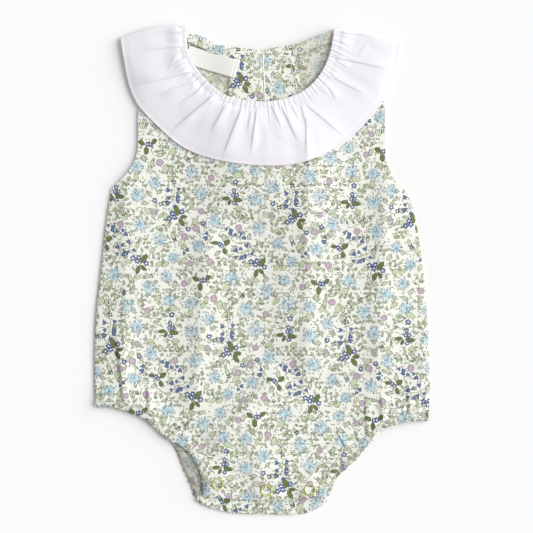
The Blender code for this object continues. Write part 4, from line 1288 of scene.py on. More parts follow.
print("a repeat is", REPEAT_ACROSS[0], "by", REPEAT_UP[1], "mm")

# %% [markdown]
# ## Edges of the body
# The outlines of the big pieces are joined from shoulder, armhole, side seam and hem. A leg
# hem's panel ends where its casing is stitched on, and the side seams come down to meet the
# layer below.

# %% Edges of the body
EDGE = 4.0    # steps along a cut edge, mm


def side_edge(shoulder, armhole, side, end_y):
    """The shoulder, armhole and side seam as one run, down to end_y."""
    seam = smooth_run(side, EDGE)
    seam = seam[seam[:, 1] > end_y]
    return np.vstack([smooth_run(shoulder, EDGE), smooth_run(armhole, EDGE), seam])


def level_run(x0, x1, y, drop=0.0):
    """A straight run at one height, which may bow down in the middle."""
    t = np.linspace(0.0, 1.0, max(2, round(abs(x1 - x0) / EDGE) + 1))
    return np.column_stack([x0 + (x1 - x0) * t, y - drop * np.sin(np.pi * t)])


def inner_hem(hem):
    """Where a leg casing is stitched to its panel."""
    return smooth_run(sideways(hem, LEG_CASING_WIDTH)[::2], 2.0)


def seam_fall(x, y, runs, depth):
    """How much an edge comes down to meet the layer below, over its last 3 mm."""
    fall = np.zeros_like(x)
    for run in runs:
        _, apart = run_coordinates(run, x, y)
        fall = np.maximum(fall, depth * (1 - rounded(apart / 3)))
    return fall


print("panel's edge at the left leg:", round(run_length(inner_hem(FRONT_HEM_LEFT))), "mm")

# %% [markdown]
# ## The front
# One cut piece from the neck to the crotch flap. It lies on the back, is gathered by the leg
# elastics, and its side seams come down to meet the back. The mesh is finer near the leg
# hems, where the gathers are. Its two sides are two meshes: the printed side with all its
# folds, and a plainer one for the wrong side, which only shows at the openings.

# %% Front panel
def front_outline():
    left, right = inner_hem(FRONT_HEM_LEFT), inner_hem(FRONT_HEM_RIGHT)
    neck = sideways(NECK, -NECK_CASING_WIDTH + 1.0)
    neck = neck[neck[:, 1] < 197.0][::3]
    flap = level_run(left[-1][0], right[0][0], HEM_FRONT_LEFT[-1].y, FLAP_DROP)
    return outline_of(
        side_edge(SHOULDER_LEFT, ARMHOLE_LEFT, SIDE_LEFT, left[0][1] + 1)[1:], left, flap,
        right, side_edge(SHOULDER_RIGHT, ARMHOLE_RIGHT, SIDE_RIGHT, right[-1][1] + 1)[:0:-1],
        neck[::-1])


def front_surface(x, y):
    return x, y, front_top(x, y) - seam_fall(x, y, SIDE_RUNS, 0.8)


def front_reverse_surface(x, y):
    """The wrong side of the front, on the back of the garment, below the gathers."""
    _, apart = leg_hems(x, y, FRONT_HEMS)
    return x, y, front_floor(x, y) + 0.5 * front_lift(x, y, apart) + 0.1


def near_leg_hem(x, y):
    _, apart = leg_hems(x, y, FRONT_HEMS)
    return apart < 26.0


def under_ruffle(x, y):
    return inside(np.vstack([sideways(HEM, 9.0), [(112.0, 210.0), (-112.0, 210.0)]]),
                  np.column_stack([x, y]))


front = printed_piece("front_cloth", front_outline(), 3.8, front_surface, [PRINT_FACE],
                      fine=(1.9, near_leg_hem), hidden=under_ruffle, thickness=0.0)
# The hidden wrong side takes the same washed-out finish with its painted shade.
front_reverse = printed_piece("front_cloth_reverse", front_outline(), 5.0,
                              front_reverse_surface, [PRINT_BACK_PAINTED_SHADE], hidden=everywhere)
for piece in (front, front_reverse):
    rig.replaces(piece, "front_panel")
    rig.slot(piece, "printed_cotton")

# %% [markdown]
# ## The back, in two halves
# The inside of the back shows in the neck opening and beside the crotch flap, so the back of
# the cloth, washed out and darkened with painted shade, is on top, and the print's face is
# underneath. The left half laps over the right one at the centre-back opening.

# %% Back panels
def back_gathers(x, y):
    s, apart = leg_hems(x, y, BACK_HEMS)
    return 0.25 * hem_gathers(s, apart) * ramp(y, -176.0, -160.0)


def under_front(x, y):
    """The back's part that the front covers, clear of the openings."""
    return (y > -150.0) & ((y < 138.0) | (np.abs(x) > 68.0))


def back_piece(name, outline, floor):
    def height(x, y):
        return (floor(x, y) + WALL - 0.2 + back_gathers(x, y)
                - seam_fall(x, y, SIDE_RUNS, 0.25))

    # The upper side is the washed-out wrong side, darkened with painted shade.
    made = printed_piece(name, outline, 4.5, upper(height), [PRINT_BACK_PAINTED_SHADE, PRINT_FACE],
                         covered=under_front, thickness=WALL - 0.4)
    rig.slot(made, "printed_cotton")
    return made


back_left_hem, back_right_hem = inner_hem(BACK_HEM_LEFT), inner_hem(BACK_HEM_RIGHT)
left_outline = outline_of(
    smooth_run(NECK_BACK_LEFT, EDGE),
    side_edge(SHOULDER_LEFT, ARMHOLE_LEFT, SIDE_LEFT, back_left_hem[0][1] + 1)[1:],
    back_left_hem, level_run(back_left_hem[-1][0] + EDGE, CENTRE_BACK, -187.7),
    level_run(-187.7, 183.0, CENTRE_BACK)[:, ::-1])
back_left = back_piece("back_cloth_left", left_outline, back_left_floor)
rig.replaces(back_left, "back_left")

seam_x, lap_x = CENTRE_BACK + GAP, CENTRE_BACK - LAP_WIDTH
neck_part = smooth_run(NECK_BACK_LEFT, EDGE)
right_outline = outline_of(
    level_run(-187.7, PLACKET_BOTTOM, seam_x)[:, ::-1],
    level_run(PLACKET_BOTTOM, 184.2, lap_x)[:, ::-1],
    neck_part[neck_part[:, 0] > lap_x][::-1], smooth_run(NECK_BACK_RIGHT, EDGE),
    side_edge(SHOULDER_RIGHT, ARMHOLE_RIGHT, SIDE_RIGHT, back_right_hem[-1][1] + 1)[1:],
    back_right_hem[::-1], level_run(back_right_hem[0][0] - EDGE, seam_x, -187.7))
back_right = back_piece("back_cloth_right", right_outline, back_floor)
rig.replaces(back_right, "back_right")

# %% [markdown]
# ## Leg hems
# Each leg hem is turned over its elastic and stitched down, and the elastic gathers it. The
# strip is a soft roll: its outer edge is a fold, and a stitch line dents it near the panel.

# %% Leg casings
LEG_STITCH_LINE = 5.4    # from the hem's edge


def casing_surface(hem, underside, fullness):
    """The roll of a turned hem, puckered by its elastic; fullness scales the puckers."""
    def place(x, y):
        s, apart = run_coordinates(hem, x, y)
        puckers = 0.42 * gather_wave(s, LEG_GATHERS) + 0.17 * gather_wave(s + 0.013, FINE_GATHERS)
        rise = 0.95 + 0.3 * np.sin(np.pi * np.clip(apart / LEG_CASING_WIDTH, 0, 1))
        height = 0.35 + 0.8 * (rise + fullness * puckers) * rounded(apart)
        return x, y, underside(x, y) + height - stitch_dent(apart, LEG_STITCH_LINE)
    return place


def leg_casing(name, hem, underside, fullness, finish, node):
    waves = gather_wave(np.linspace(0.0, 1.0, 2 * len(hem)), LEG_GATHERS)
    outer = along(hem, np.linspace(0.0, 1.0, 2 * len(hem)))
    shifted = sideways(outer, 1.0) - outer
    outer = outer - shifted * (0.55 * waves - 0.1)[:, None]
    inner = sideways(hem, LEG_CASING_WIDTH + 0.2)
    inner[:, 1] = np.maximum(inner[:, 1], hem[:, 1].min())
    made = printed_piece(name, outline_of(outer, inner[::-1]), 1.1,
                         casing_surface(hem, underside, fullness), [finish])
    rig.replaces(made, node)
    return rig.slot(made, "printed_cotton")


def back_under_hem(x, y):
    """The back's hem leans outwards beside the flap."""
    _, apart = leg_hems(x, y, BACK_HEMS)
    return 0.2 * apart * ramp(y, -135.0, -155.0)


def front_under_hem(x, y):
    _, apart = leg_hems(x, y, FRONT_HEMS)
    return front_floor(x, y) + front_lift(x, y, apart)


casings = [leg_casing(f"leg_hem_{part}_{side}", hem, under, fullness, finish,
                      f"leg_casing_{part}_{side}")
           for part, side, hem, under, fullness, finish in (
               # The front hems: darker for closer motifs, with painted shade between the gathers.
               ("front", "left", FRONT_HEM_LEFT, front_under_hem, 1.0, PRINT_GATHERED_PAINTED_SHADE),
               ("front", "right", FRONT_HEM_RIGHT, front_under_hem, 1.0, PRINT_GATHERED_PAINTED_SHADE),
               # The back hems: greyed with painted shade.
               ("back", "left", BACK_HEM_LEFT, back_under_hem, 0.6, PRINT_HEM_PAINTED_SHADE),
               ("back", "right", BACK_HEM_RIGHT, back_under_hem, 0.6, PRINT_HEM_PAINTED_SHADE))]

# %% [markdown]
# ## The crotch band
# The back ends in a band that is folded up under the front flap and carries the lower halves
# of the snaps. Its flat cut is printed first and then rolled round the fold line.

# %% Crotch band
def fold_line(x):
    """y of the fold at the band's bottom, a little higher at its two ends."""
    return np.interp(x, *smooth_run(BAND_FOLD).T) + 1.3 * ramp(np.abs(x), 50.0, 55.0)


def band_surface(x, s):
    """s is measured down from the seam, round the fold and up again."""
    fold_y = fold_line(x)
    depth = BAND_SEAM - fold_y
    radius = LAYER / 2
    turn = np.clip((s - depth + radius) / radius, 0.0, np.pi)
    up = np.clip(s - depth - (np.pi - 1) * radius, 0.0, None)
    y = np.where(turn > 0, fold_y + radius * (1 - np.sin(turn)), BAND_SEAM - s) + up
    inset = np.clip((y - BAND_SEAM) / 4.0, 0.0, 1.0) * (turn >= np.pi)
    x = x * (1 - 0.11 * inset)
    puff = 0.25 * np.sin(np.pi * np.clip((s - 1) / 12, 0, 1)) * (0.6 + 0.4 * np.sin(x / 5.1))
    return x, y, 0.55 + radius * (1 - np.cos(turn)) + puff * (turn > 1.5)


fold_x = np.linspace(-54.6, 53.6, 28)
fold_depth = BAND_SEAM - fold_line(fold_x)
band_cut = outline_of(
    np.column_stack([fold_x, 0.3 + 0 * fold_x]),
    np.column_stack([fold_x, 2 * fold_depth + 18.0])[::-1])
band = printed_piece("crotch_band_cloth", band_cut, 1.6, band_surface, [PRINT_FACE])
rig.replaces(band, "back_crotch_band")
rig.slot(band, "printed_cotton")

# %% [markdown]
# ## Inside the neck: facings and neck binding
# The centre-back opening has a facing on each half, print upwards, with an overlocked free
# edge. A narrow facing of the same cloth covers the back neck seam.

# %% Facings and bindings
CENTRE_EDGE_LEFT = (Point(0.4, 183.0), Point(2.3, 141.0), Point(2.3, 68.0))
CENTRE_EDGE_RIGHT = (Point(0.4, 183.0), Point(0.7, 141.0), Point(0.7, 68.0))


def edge_roll(x, y, run, width):
    """0 inside a piece, rising to 1 at a folded edge."""
    _, apart = run_coordinates(run, x, y)
    return 1 - rounded(apart / width)


def facing(side, neck, centre_edge, free_edge, floor):
    top, free = smooth_run(neck, 2.0), smooth_run(free_edge, 3.0)
    top = top[np.abs(top[:, 0]) < abs(free[0][0]) - 1.0]
    centre = smooth_run(centre_edge, 3.0)
    outline = outline_of(top, free, level_run(free[-1][0], centre[-1][0], PLACKET_BOTTOM),
                         centre[::-1])

    def height(x, y):
        roll = (edge_roll(x, y, top, 1.0) + edge_roll(x, y, centre, 0.8)
                + edge_roll(x, y, free, 4.0))
        return floor(x, y) + LAYER + WALL - 0.8 * roll

    made = printed_piece(f"placket_{side}", outline, 2.4, upper(height), [PRINT_INNER])
    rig.replaces(made, f"placket_facing_{side}")
    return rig.slot(made, "printed_cotton")


def binding(side, neck, offset, from_x, floor, material):
    """A strip along the back neck edge, from from_x outwards; offset is its signed width."""
    outer = smooth_run(neck, 2.0)
    inner = sideways(outer, offset)
    outer, inner = (run[np.abs(run[:, 0]) > from_x] for run in (outer, inner))

    def height(x, y):
        _, apart = run_coordinates(outer, x, y)
        return (floor(x, y) + LAYER + WALL + 0.25 - 0.9 * edge_roll(x, y, outer, 1.2)
                - stitch_dent(apart, BINDING_WIDTH - 1.4))

    made = printed_piece(f"neck_facing_{side}", outline_of(outer, inner[::-1]), 1.5,
                         upper(height), [material])
    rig.replaces(made, f"neck_binding_{side}")
    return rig.slot(made, "printed_cotton")


placket_left = facing("left", NECK_BACK_LEFT, CENTRE_EDGE_LEFT, FACING_EDGE_LEFT,
                      back_left_floor)
placket_right = facing("right", NECK_BACK_RIGHT, CENTRE_EDGE_RIGHT, FACING_EDGE_RIGHT,
                       back_floor)
binding_left = binding("left", NECK_BACK_LEFT, BINDING_WIDTH, 19.0, back_left_floor, PRINT_INNER)
# The right binding shows the washed-out wrong side with its painted shade.
binding_right = binding("right", NECK_BACK_RIGHT, -BINDING_WIDTH, 24.0, back_floor, PRINT_BACK_PAINTED_SHADE)

# %% [markdown]
# ## White pieces: a grid bent to its place
# The ruffle and its heading are strips: one direction runs along the neck and the other
# outwards. A grid in those two directions keeps the fine gathers clean.

# %% Strips
def strip(name, columns, rows, place, material, node):
    """A grid whose place function turns u and v, both 0 to 1, into x, y and z."""
    u, v = np.meshgrid(np.linspace(0.0, 1.0, columns + 1), np.linspace(0.0, 1.0, rows + 1))
    places = np.column_stack(place(u.ravel(), v.ravel()))
    first = (np.arange(rows)[:, None] * (columns + 1) + np.arange(columns)).ravel()
    faces = np.column_stack([first, first + 1, first + columns + 2, first + columns + 1])
    a, b, c = places[faces[0, :3]]
    if np.cross(b - a, c - a)[2] < 0:
        faces = faces[:, ::-1]   # so that the face side is up
    made = cloth_object(name, places, faces.tolist(), [material])
    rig.replaces(made, node)
    print(name, 2 * len(faces), "triangles")
    return made


def across(inner, outer):
    """Places between two runs, both cut into even steps."""
    def place(u, v):
        a, b = along(inner, u), along(outer, u)
        return (a + v[:, None] * (b - a)).T
    return place


half_way = across(NECK, HEM)(np.array([0.5]), np.array([0.5]))
print("half-way from the neck to the hem:", half_way.round(1).tolist())

# %% [markdown]
# ## Puckers beside the elastic
# Elastic draws the neck edge into small puckers that reach into the ruffle, each to its own
# length. Three rows of different fineness are laid over each other, so none looks counted.

# %% Puckers
END_FOLD = 0.012     # the share of the strip that turns down at each shoulder


def end_fold(u):
    """0 at a strip's two ends, where it turns down over the shoulder, and 1 between."""
    return rounded(np.minimum(u, 1 - u) / END_FOLD)


def uneven_reach(u, least, most):
    """How far out each gather goes, different from one to the next."""
    return least + (most - least) * (0.5 + 0.5 * np.sin(61 * u + 2.3 * np.sin(23 * u)))


Pucker = namedtuple("Pucker", "depth count offset shift least most")
PUCKERS = (
    Pucker(0.42, NECK_GATHERS, 0.0, 0.0, 0.2, 0.5),
    Pucker(0.4, 79, 0.0, 0.3, 0.12, 0.34),
    Pucker(0.25, 121, 0.003, 0.7, 0.06, 0.2),
)
# How strong they are from the left shoulder (0) to the right one (1).
PUCKER_DEPTH = ((0.0, 0.9), (0.25, 0.85), (0.45, 0.6), (0.65, 0.55), (0.8, 0.6), (1.0, 0.75))


def puckers(u, v):
    """Fine irregular gathers beside the elastic; v is 0 at the seam and 1 at the hem."""
    u = u + 0.0022 * np.sin(83 * u) + 0.0013 * np.sin(211 * u + 1.0)
    fine = np.zeros_like(u)
    for p in PUCKERS:
        reach = uneven_reach(u + p.shift, p.least, p.most)
        fine += p.depth * gather_wave(u + p.offset, p.count) * ramp(v, reach, 0.0)
    return fine * np.interp(u, *np.transpose(PUCKER_DEPTH))


print("puckers round the neck:", [p.count for p in PUCKERS])

# %% [markdown]
# ## The front ruffle
# A long straight strip of cotton is gathered to the neck edge, so it spreads into pleats that
# soften towards the hem. At the shoulders it folds over to the back.

# %% Front ruffle
def ruffle_place(u, v):
    x, y = across(sideways(NECK, -NECK_CASING_WIDTH + 0.9), HEM)(u, v)
    y = y + SHOULDER_RISE * np.sin(np.pi * v) * ramp(np.minimum(u, 1 - u), 0.05, 0.0)
    soft = gather_wave(u + 0.004 * np.sin(9 * v), RUFFLE_PLEATS)
    soft = 0.25 * soft * (0.1 + 0.9 * ramp(v, 0.0, 0.25) * ramp(v, 1.1, 0.5))
    folded_hem = 0.2 * ramp(v, 0.975, 0.985) - stitch_dent(v, 0.93, 0.06, 0.008)
    rise = puckers(u, v) + soft + folded_hem + ridges(RUFFLE_CREASES, x, y, 0.22, 2.1)
    settle = 0.55 * ramp(v, 0.12, 0.0) + 0.15 * ramp(v, 0.45, 1.0) + 0.5 * ramp(v, 0.85, 1.0)
    top = np.maximum(ruffle_floor(x, y) + WALL + rise - settle, 0.6)
    ends = RUFFLE_LIFT + 0.6
    return x, y, ends + (top - ends) * end_fold(u)


ruffle = strip("ruffle_front_cloth", 700, 52, ruffle_place, WHITE_COTTON, "ruffle_front")
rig.slot(ruffle, "white_cotton")

# %% [markdown]
# ## The ruffle's heading
# A narrow casing with elastic in it, full of small puckers. Its upper edge is wavy, because
# each pucker draws the fold in a little.

# %% Ruffle heading
FAR = 1000.0   # added while directions are read along a run, which spaces them evenly


def heading_place(u, v):
    """v is 0 at the neck's edge, whose outline is wavy, and 1 where the ruffle starts."""
    wave = (1 - v) * (0.35 * gather_wave(u, 79) + 0.2 * gather_wave(u, NECK_GATHERS))
    x, y = across(NECK, sideways(NECK, -NECK_CASING_WIDTH))(u, v)
    inward = along(sideways(NECK, 1.0) - NECK + FAR, u) - FAR
    x, y = x + inward[:, 0] * wave, y + inward[:, 1] * wave
    low = front_floor(x, y)
    low = low + (RUFFLE_LIFT - low) * (1 - end_fold(u))
    height = NECK_CASING_HEIGHT - 0.3 + puckers(u, 0.0 * v)
    return x, y, low + 0.4 + height * rounded(v / 0.14)


heading = strip("ruffle_heading", 900, 14, heading_place, WHITE_COTTON, "neck_casing")
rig.slot(heading, "white_cotton")

# %% [markdown]
# ## The ruffle's two ends on the back
# They lie under the garment, open at the centre back. Only their pleats' undersides and the
# shoulder folds are ever seen.

# %% Back ruffle
def back_ruffle(side, neck, centre_x, corner_x):
    hem_x = np.linspace(centre_x, corner_x, 120)
    hem = np.column_stack([hem_x, back_ruffle_hem(hem_x)])
    place_flat = across(smooth_run(neck, 1.0), hem)

    def place(u, v):
        x, y = place_flat(u, v)
        y = y + SHOULDER_RISE * np.sin(np.pi * v) * ramp(u, 0.9, 1.0)
        waves = (0.7 * gather_wave(u, BACK_RUFFLE_PLEATS)
                 + 0.25 * gather_wave(u, 31) * ramp(v, 0.4, 0.0))
        return x, y, 0.62 + 0.9 * waves

    made = strip(f"ruffle_back_cloth_{side}", 260, 26, place, WHITE_COTTON,
                 f"ruffle_back_{side}")
    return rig.slot(made, "white_cotton")


back_ruffle_left = back_ruffle("left", BACK_RUFFLE_NECK_LEFT, BACK_RUFFLE_NECK_LEFT[0].x,
                               RUFFLE_HEM[0].x)
back_ruffle_right = back_ruffle("right", BACK_RUFFLE_NECK_RIGHT, BACK_RUFFLE_NECK_RIGHT[0].x,
                                RUFFLE_HEM[-1].x)

# %% [markdown]
# ## The label
# Woven satin tape, its ends folded under and sewn down. Its close cross ribs are smoother
# than the cotton round it, so it looks paler and catches a soft gloss. It is bare.

# %% Label
RIB_PITCH = 0.9                 # as drawn; real ribs are too fine to show
LABEL_CLIMB = (-46.0, -22.0)    # x from where to where it climbs onto the facing
LABEL_STITCH_LINE = 2.6         # from its right end


def satin_tape():
    material, shader = new_material("woven_satin_tape", 0.55, Sheen_Weight=0.1)
    place = add_node(material, "TexCoord", {}, {}).outputs["Object"]
    tilt = add_node(material, "VectorRotate", {"rotation_type": "Z_AXIS"},
                    {"Vector": place, "Angle": math.radians(-LABEL_TURN)}).outputs[0]
    ribs = add_node(material, "TexWave", {"bands_direction": "Y"},
                    {"Vector": tilt, "Scale": 1 / (RIB_PITCH * MM * 3.14),
                     "Distortion": 0.3})
    ribs = ribs.outputs["Fac"]
    colour = tinted(material, ribs, (*linear("EFEEE8"), 1.0), "F9F8F3")
    return finished(material, shader, colour, ribs, 0.3, 0.2)


SATIN_TAPE = satin_tape()
label_turn = math.radians(LABEL_TURN)
label_along = np.array([math.cos(label_turn), math.sin(label_turn)]) * LABEL_SIZE[0]
label_down = np.array([math.sin(label_turn), -math.cos(label_turn)]) * LABEL_SIZE[1]


def under_label(x, y):
    return back_left_floor(x, y) + LAYER * (1 + ramp(x, *LABEL_CLIMB))


def label_place(u, v):
    x = LABEL_CORNER.x + u * label_along[0] + v * label_down[0]
    y = LABEL_CORNER.y + u * label_along[1] + v * label_down[1]
    edge = np.minimum(np.minimum(u, 1 - u) * LABEL_SIZE[0], np.minimum(v, 1 - v) * LABEL_SIZE[1])
    height = 0.45 + 0.4 * rounded(edge / 0.7) + 0.2 * np.sin(np.pi * u) * np.sin(np.pi * v)
    height = height - stitch_dent((1 - u) * LABEL_SIZE[0], LABEL_STITCH_LINE, 0.25, 0.35)
    return x, y, under_label(x, y) + height


label = strip("neck_label_tape", 90, 40, label_place, SATIN_TAPE, "neck_label")
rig.slot(label, "woven_label")

# %% [markdown]
# ## Snaps and buttons
# Open-ring snap caps are stamped from thin brass and stove-lacquered pale lime: the lacquer
# hides the metal, so the eye sees a smooth coloured skin with a small soft shine. Buttons of
# cast polyester resin are tumbled to a low gloss. All are turned shapes, so each is a short
# profile spun round its axis, and so are the studs under the flap.

# %% Turned fasteners
RING_RADIUS, RING_WALL, RING_HALF_HEIGHT = 4.25, 0.55, 0.6
STUD_RADIUS, STUD_LOW, STUD_RIM = 4.5, 2.6, 1.0
BUTTON_RIM = 1.3


def lacquer(name, hex_colour, roughness):
    material, shader = new_material(name, roughness, Coat_Weight=0.4, Coat_Roughness=0.25)
    return finished(material, shader, uneven(material, swatch(material, hex_colour), 0.03))


SNAP_LACQUER = lacquer("lacquered_snap_metal", "C6D07C", 0.4)
BUTTON_RESIN = lacquer("polyester_button_resin", "EFEDE2", 0.3)


def turned_piece(name, centre, profile, segments, material, node):
    """Spins a closed profile of (radius, z) points about a vertical axis."""
    angles = np.linspace(0.0, 2 * math.pi, segments, endpoint=False)
    count = len(profile)
    places = [(centre.x + r * math.cos(a), centre.y + r * math.sin(a), z)
              for a in angles for r, z in profile]
    faces = [(i * count + j, ((i + 1) % segments) * count + j,
              ((i + 1) % segments) * count + (j + 1) % count, i * count + (j + 1) % count)
             for i in range(segments) for j in range(count)]
    made = cloth_object(name, places, faces, [material], thickness=0.0)
    made.data.set_sharp_from_angle(angle=math.radians(50.0))
    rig.replaces(made, node)
    print(name, len(faces), "faces")
    return made


def ring_profile(low):
    angles = np.linspace(0.0, 2 * math.pi, 14, endpoint=False)
    return [(RING_RADIUS - RING_WALL * math.cos(a), low + 0.5 + RING_HALF_HEIGHT * math.sin(a))
            for a in angles]


def disc_profile(radius, low, height, rim):
    """A disc with rounded edges and a slightly sunk middle."""
    axis, high = 0.05, low + height
    return [(axis, low), (radius - 0.3, low), (radius, low + 0.25), (radius, high - 0.25),
            (radius - 0.3, high), (radius - rim, high), (radius - rim - 0.4, high - 0.2),
            (axis, high - 0.2)]


for number, snap in enumerate(SNAPS, start=1):
    cloth_top = front_top(np.array([snap.x]), np.array([snap.y]))[0]
    ring = turned_piece(f"snap_cap_{number}", snap, ring_profile(cloth_top), 48, SNAP_LACQUER,
                        f"snap_ring_{number}")
    stud = turned_piece(f"snap_socket_{number}", snap,
                        disc_profile(STUD_RADIUS, STUD_LOW, STUD_HEIGHT, STUD_RIM), 36,
                        SNAP_LACQUER, f"snap_stud_{number}")
    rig.slot(ring, "snap_lacquer")
    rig.slot(stud, "snap_lacquer")
for number, place in enumerate(BUTTONS, start=1):
    button = turned_piece(f"resin_button_{number}", place,
                          disc_profile(BUTTON_REACH, 0.0, BUTTON_HEIGHT, BUTTON_RIM), 40,
                          BUTTON_RESIN, f"back_button_{number}")
    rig.slot(button, "button_resin")

# %% [markdown]
# ## Stitching
# Lockstitch thread lies in small equal stitches along each seam. They are small spindle
# shapes, joined in one mesh a seam.

# %% Stitches
def stitches(name, run, height, length=2.1, gap=0.7, radius=0.2):
    """Small spindles along a run, lying on the surface of the given height."""
    total = run_length(run)
    starts = np.arange(gap, total - length, length + gap)
    places, faces = [], []
    for begin in starts:
        ends = along(run, np.array([begin, begin + length]) / total)
        ahead = (ends[1] - ends[0]) / np.linalg.norm(ends[1] - ends[0])
        side = np.array([-ahead[1], ahead[0]])
        first = len(places)
        for t, swell in ((0.0, 0.3), (0.25, 1.0), (0.75, 1.0), (1.0, 0.3)):
            at = ends[0] + t * (ends[1] - ends[0])
            z = height(at[:1], at[1:])[0] + radius * (0.9 if 0 < t < 1 else -0.2)
            for out, up in ((1, 0), (0, 1), (-1, 0), (0, -1)):
                flat = at + side * out * radius * swell
                places.append((*flat, z + up * radius * swell))
        for ring in range(3):
            for k in range(4):
                a, b = first + 4 * ring + k, first + 4 * ring + (k + 1) % 4
                faces.append((a, b, b + 4, a + 4))
        faces += [tuple(first + 3 - k for k in range(4)),
                  tuple(first + 12 + k for k in range(4))]
    cloth_object(name, places, faces, [THREAD], thickness=0.0)
    print(name, len(starts), "stitches")


for side, hem in (("left", FRONT_HEM_LEFT), ("right", FRONT_HEM_RIGHT)):
    surface = casing_surface(hem, front_under_hem, 1.0)
    stitches(f"leg_hem_stitching_{side}", sideways(hem, LEG_STITCH_LINE),
             lambda x, y: surface(x, y)[2])
label_ends = [np.array([np.array(LABEL_CORNER) + a * label_along + b * label_down
                        for b in (0.04, 0.96)]) for a in (0.985, 0.02)]
for number, run in enumerate(label_ends, start=1):
    stitches(f"label_stitching_{number}", run, lambda x, y: under_label(x, y) + 0.8,
             1.4, 0.6, 0.15)

# %% [markdown]
# ## Overlocked edges
# An overlocker sews a close zigzag over a cut edge and trims it. Each thread is a curve with
# a round section, and so is a small white cord along the lap's folded edge: a painted
# highlight, where the fold faces the light.

# %% Overlocked edges
def cord(name, line, heights, radius, material):
    """A round thread through a row of places."""
    curve = bpy.data.curves.new(name, "CURVE")
    curve.dimensions = "3D"
    curve.bevel_depth = radius * MM
    curve.bevel_resolution = 1
    spline = curve.splines.new("POLY")
    spline.points.add(len(line) - 1)
    for point, (x, y), z in zip(spline.points, line, heights):
        point.co = (x * MM, y * MM, z * MM, 1.0)
    curve.materials.append(material)
    made = bpy.data.objects.new(name, curve)
    bpy.context.scene.collection.objects.link(made)
    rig.ride(made, "root")
    print(name, len(line), "points of thread")


def overlock(name, edge, height):
    """A zigzag thread over a cut edge, with a straight needle line inside it."""
    run, width = smooth_run(edge, 0.95), 3.4
    swing = np.where(np.arange(len(run)) % 2 == 0, 0.0, width)[:, None]
    inward = sideways(run, 1.0) - run
    if edge[0].x > 0:
        inward = -inward
    for number, line in enumerate((run + inward * swing, run + inward * width), start=1):
        cord(f"{name}_{number}", line, height(*line.T) + 0.2, 0.3, OVERLOCK_THREAD)


overlock("overlock_right", FACING_EDGE_RIGHT, lambda x, y: back_floor(x, y) + LAYER + WALL)
fold = smooth_run(CENTRE_EDGE_LEFT, 3.0)[:16]   # as far down as the neck opening shows it
# A white cord along the lap's fold: the fold's painted highlight, where it faces the light.
cord("lap_fold_edge", fold, back_left_floor(*fold.T) + LAYER + WALL - 0.35, 0.6, THREAD)
overlock("overlock_left", FACING_EDGE_LEFT, lambda x, y: back_left_floor(x, y) + WALL + 0.3)

# %% [markdown]
# ## The floor
# Matt studio paper, so pale and dull that it shows nothing but the garment's soft shade. It
# lies a hair under the cloth and reaches far past the frame.

# %% Floor
FLOOR_REACH, FLOOR_DROP = 6000.0, 0.2   # mm
reach = FLOOR_REACH * MM
floor_mesh = bpy.data.meshes.new("studio_floor")
floor_mesh.from_pydata([(-reach, -reach, 0), (reach, -reach, 0), (reach, reach, 0),
                        (-reach, reach, 0)], [], [(0, 1, 2, 3)])
floor = bpy.data.objects.new("studio_floor", floor_mesh)
floor.location.z = -FLOOR_DROP * MM
bpy.context.scene.collection.objects.link(floor)
paper, paper_shader = new_material("studio_paper", 0.9, Specular_IOR_Level=0.1)
paper_shader.inputs["Base Color"].default_value = (*linear("FAFAFA"), 1.0)
floor_mesh.materials.append(paper)
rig.stage(floor)
print("floor:", floor.name)

# %% [markdown]
# ## What each cloth was cut to
# Each sheet is declared with the flat size it was cut to. The garment lies on the floor and
# on its own layers.

# %% Sheets
Cut = namedtuple("Cut", "piece width length area held rests_on with_pieces")
FRONT_CASINGS, BACK_CASINGS = casings[:2], casings[2:]
CUTS = (
    Cut(front, 0.300, 0.405, 0.0860, "laid", [back_left, back_right],
        [front_reverse, *FRONT_CASINGS]),
    Cut(back_left, 0.150, 0.395, 0.0450, "laid", [floor], BACK_CASINGS[:1]),
    Cut(back_right, 0.165, 0.395, 0.0475, "laid", [floor], BACK_CASINGS[1:]),
    Cut(ruffle, 0.420, 0.056, 0.0210, "gathered", [front], [heading]),
    Cut(band, 0.110, 0.046, 0.0047, "folded", [floor], []),
    Cut(placket_left, 0.034, 0.115, 0.0033, "laid", [back_left], []),
    Cut(placket_right, 0.038, 0.115, 0.0036, "laid", [back_right], []),
    Cut(binding_left, 0.052, 0.010, 0.0005, "laid", [back_left], []),
    Cut(binding_right, 0.044, 0.010, 0.0004, "laid", [back_right], []),
    Cut(label, 0.045, 0.016, 0.0007, "laid", [back_left], []),
    Cut(back_ruffle_left, 0.110, 0.050, 0.0045, "gathered", [floor], []),
    Cut(back_ruffle_right, 0.125, 0.050, 0.0053, "gathered", [floor], []),
)
for cut in CUTS:
    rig.sheet(cut.piece, flat=(cut.width, cut.length), held=cut.held, rests_on=cut.rests_on,
             area=cut.area, with_pieces=cut.with_pieces)
    cells = np.empty(len(cut.piece.data.polygons))
    cut.piece.data.polygons.foreach_get("area", cells)
    print(cut.piece.name, "shows", round(cells.sum() / cut.area, 2), "of its cut")

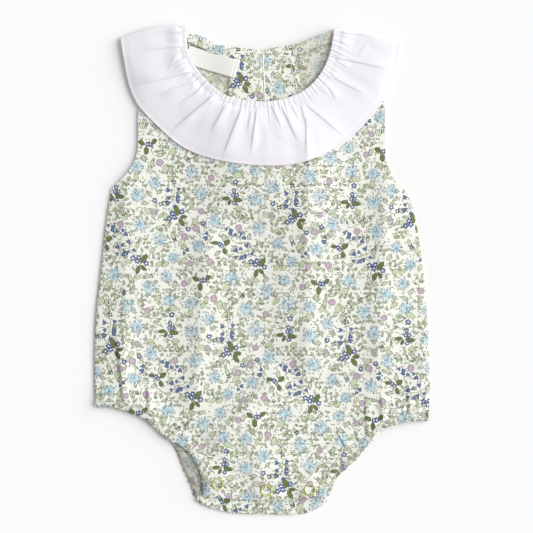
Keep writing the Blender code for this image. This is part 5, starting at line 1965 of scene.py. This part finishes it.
# %% [markdown]
# ## Light
# An even sky and one broad soft sun from the right and a little from the top of the picture,
# as from a large window. It stands low, so that slow folds show.

# %% Light
SKY_STRENGTH, SUN_STRENGTH, SUN_SPREAD, SUN_RISE = 0.45, 3.9, 70.0, 0.5
world = bpy.data.worlds.new("studio")
world.use_nodes = True
world.node_tree.nodes["Background"].inputs["Color"].default_value = (1.0, 1.0, 1.0, 1.0)
world.node_tree.nodes["Background"].inputs["Strength"].default_value = SKY_STRENGTH
bpy.context.scene.world = world
sun_data = bpy.data.lights.new("window", "SUN")
sun_data.energy = SUN_STRENGTH
sun_data.angle = math.radians(SUN_SPREAD)
sun = bpy.data.objects.new("window", sun_data)
sun.rotation_mode = "QUATERNION"
sun.rotation_quaternion = Vector((*LIGHT_SIDE, SUN_RISE)).to_track_quat("Z", "Y")
bpy.context.scene.collection.objects.link(sun)
print("light:", sun.name, SUN_STRENGTH)

# %% [markdown]
# ## Camera
# It looks straight down on the garment through a long lens, so nothing leans.

# %% Camera
CENTRE, FRAME_WIDTH = (3.7, 3.7), 442.4      # what the picture shows, mm, on the garment
LENS, SENSOR, GARMENT_HEIGHT = 100.0, 36.0, 3.0
camera_data = bpy.data.cameras.new("overhead")
camera_data.lens = LENS
camera_data.clip_end = 20.0
camera = bpy.data.objects.new("overhead", camera_data)
distance = FRAME_WIDTH / SENSOR * LENS + GARMENT_HEIGHT
camera.location = (CENTRE[0] * MM, CENTRE[1] * MM, distance * MM)
bpy.context.scene.collection.objects.link(camera)
bpy.context.scene.camera = camera
bpy.context.scene.view_settings.view_transform = "Standard"
bpy.context.scene.view_settings.look = "None"
print("camera is", round(distance), "mm above the floor")

# %% [markdown]
# ## Sizes
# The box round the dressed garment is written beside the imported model's own, so that the two
# can be compared.

# %% Sizes and the end
bpy.context.view_layer.update()
own_box = [list(corner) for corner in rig.bounds()]
with open("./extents.json", "w") as sizes:
    json.dump({"cad": CAD_BOX, "scene": own_box}, sizes)
print("CAD box:", CAD_BOX, "scene box:", own_box)
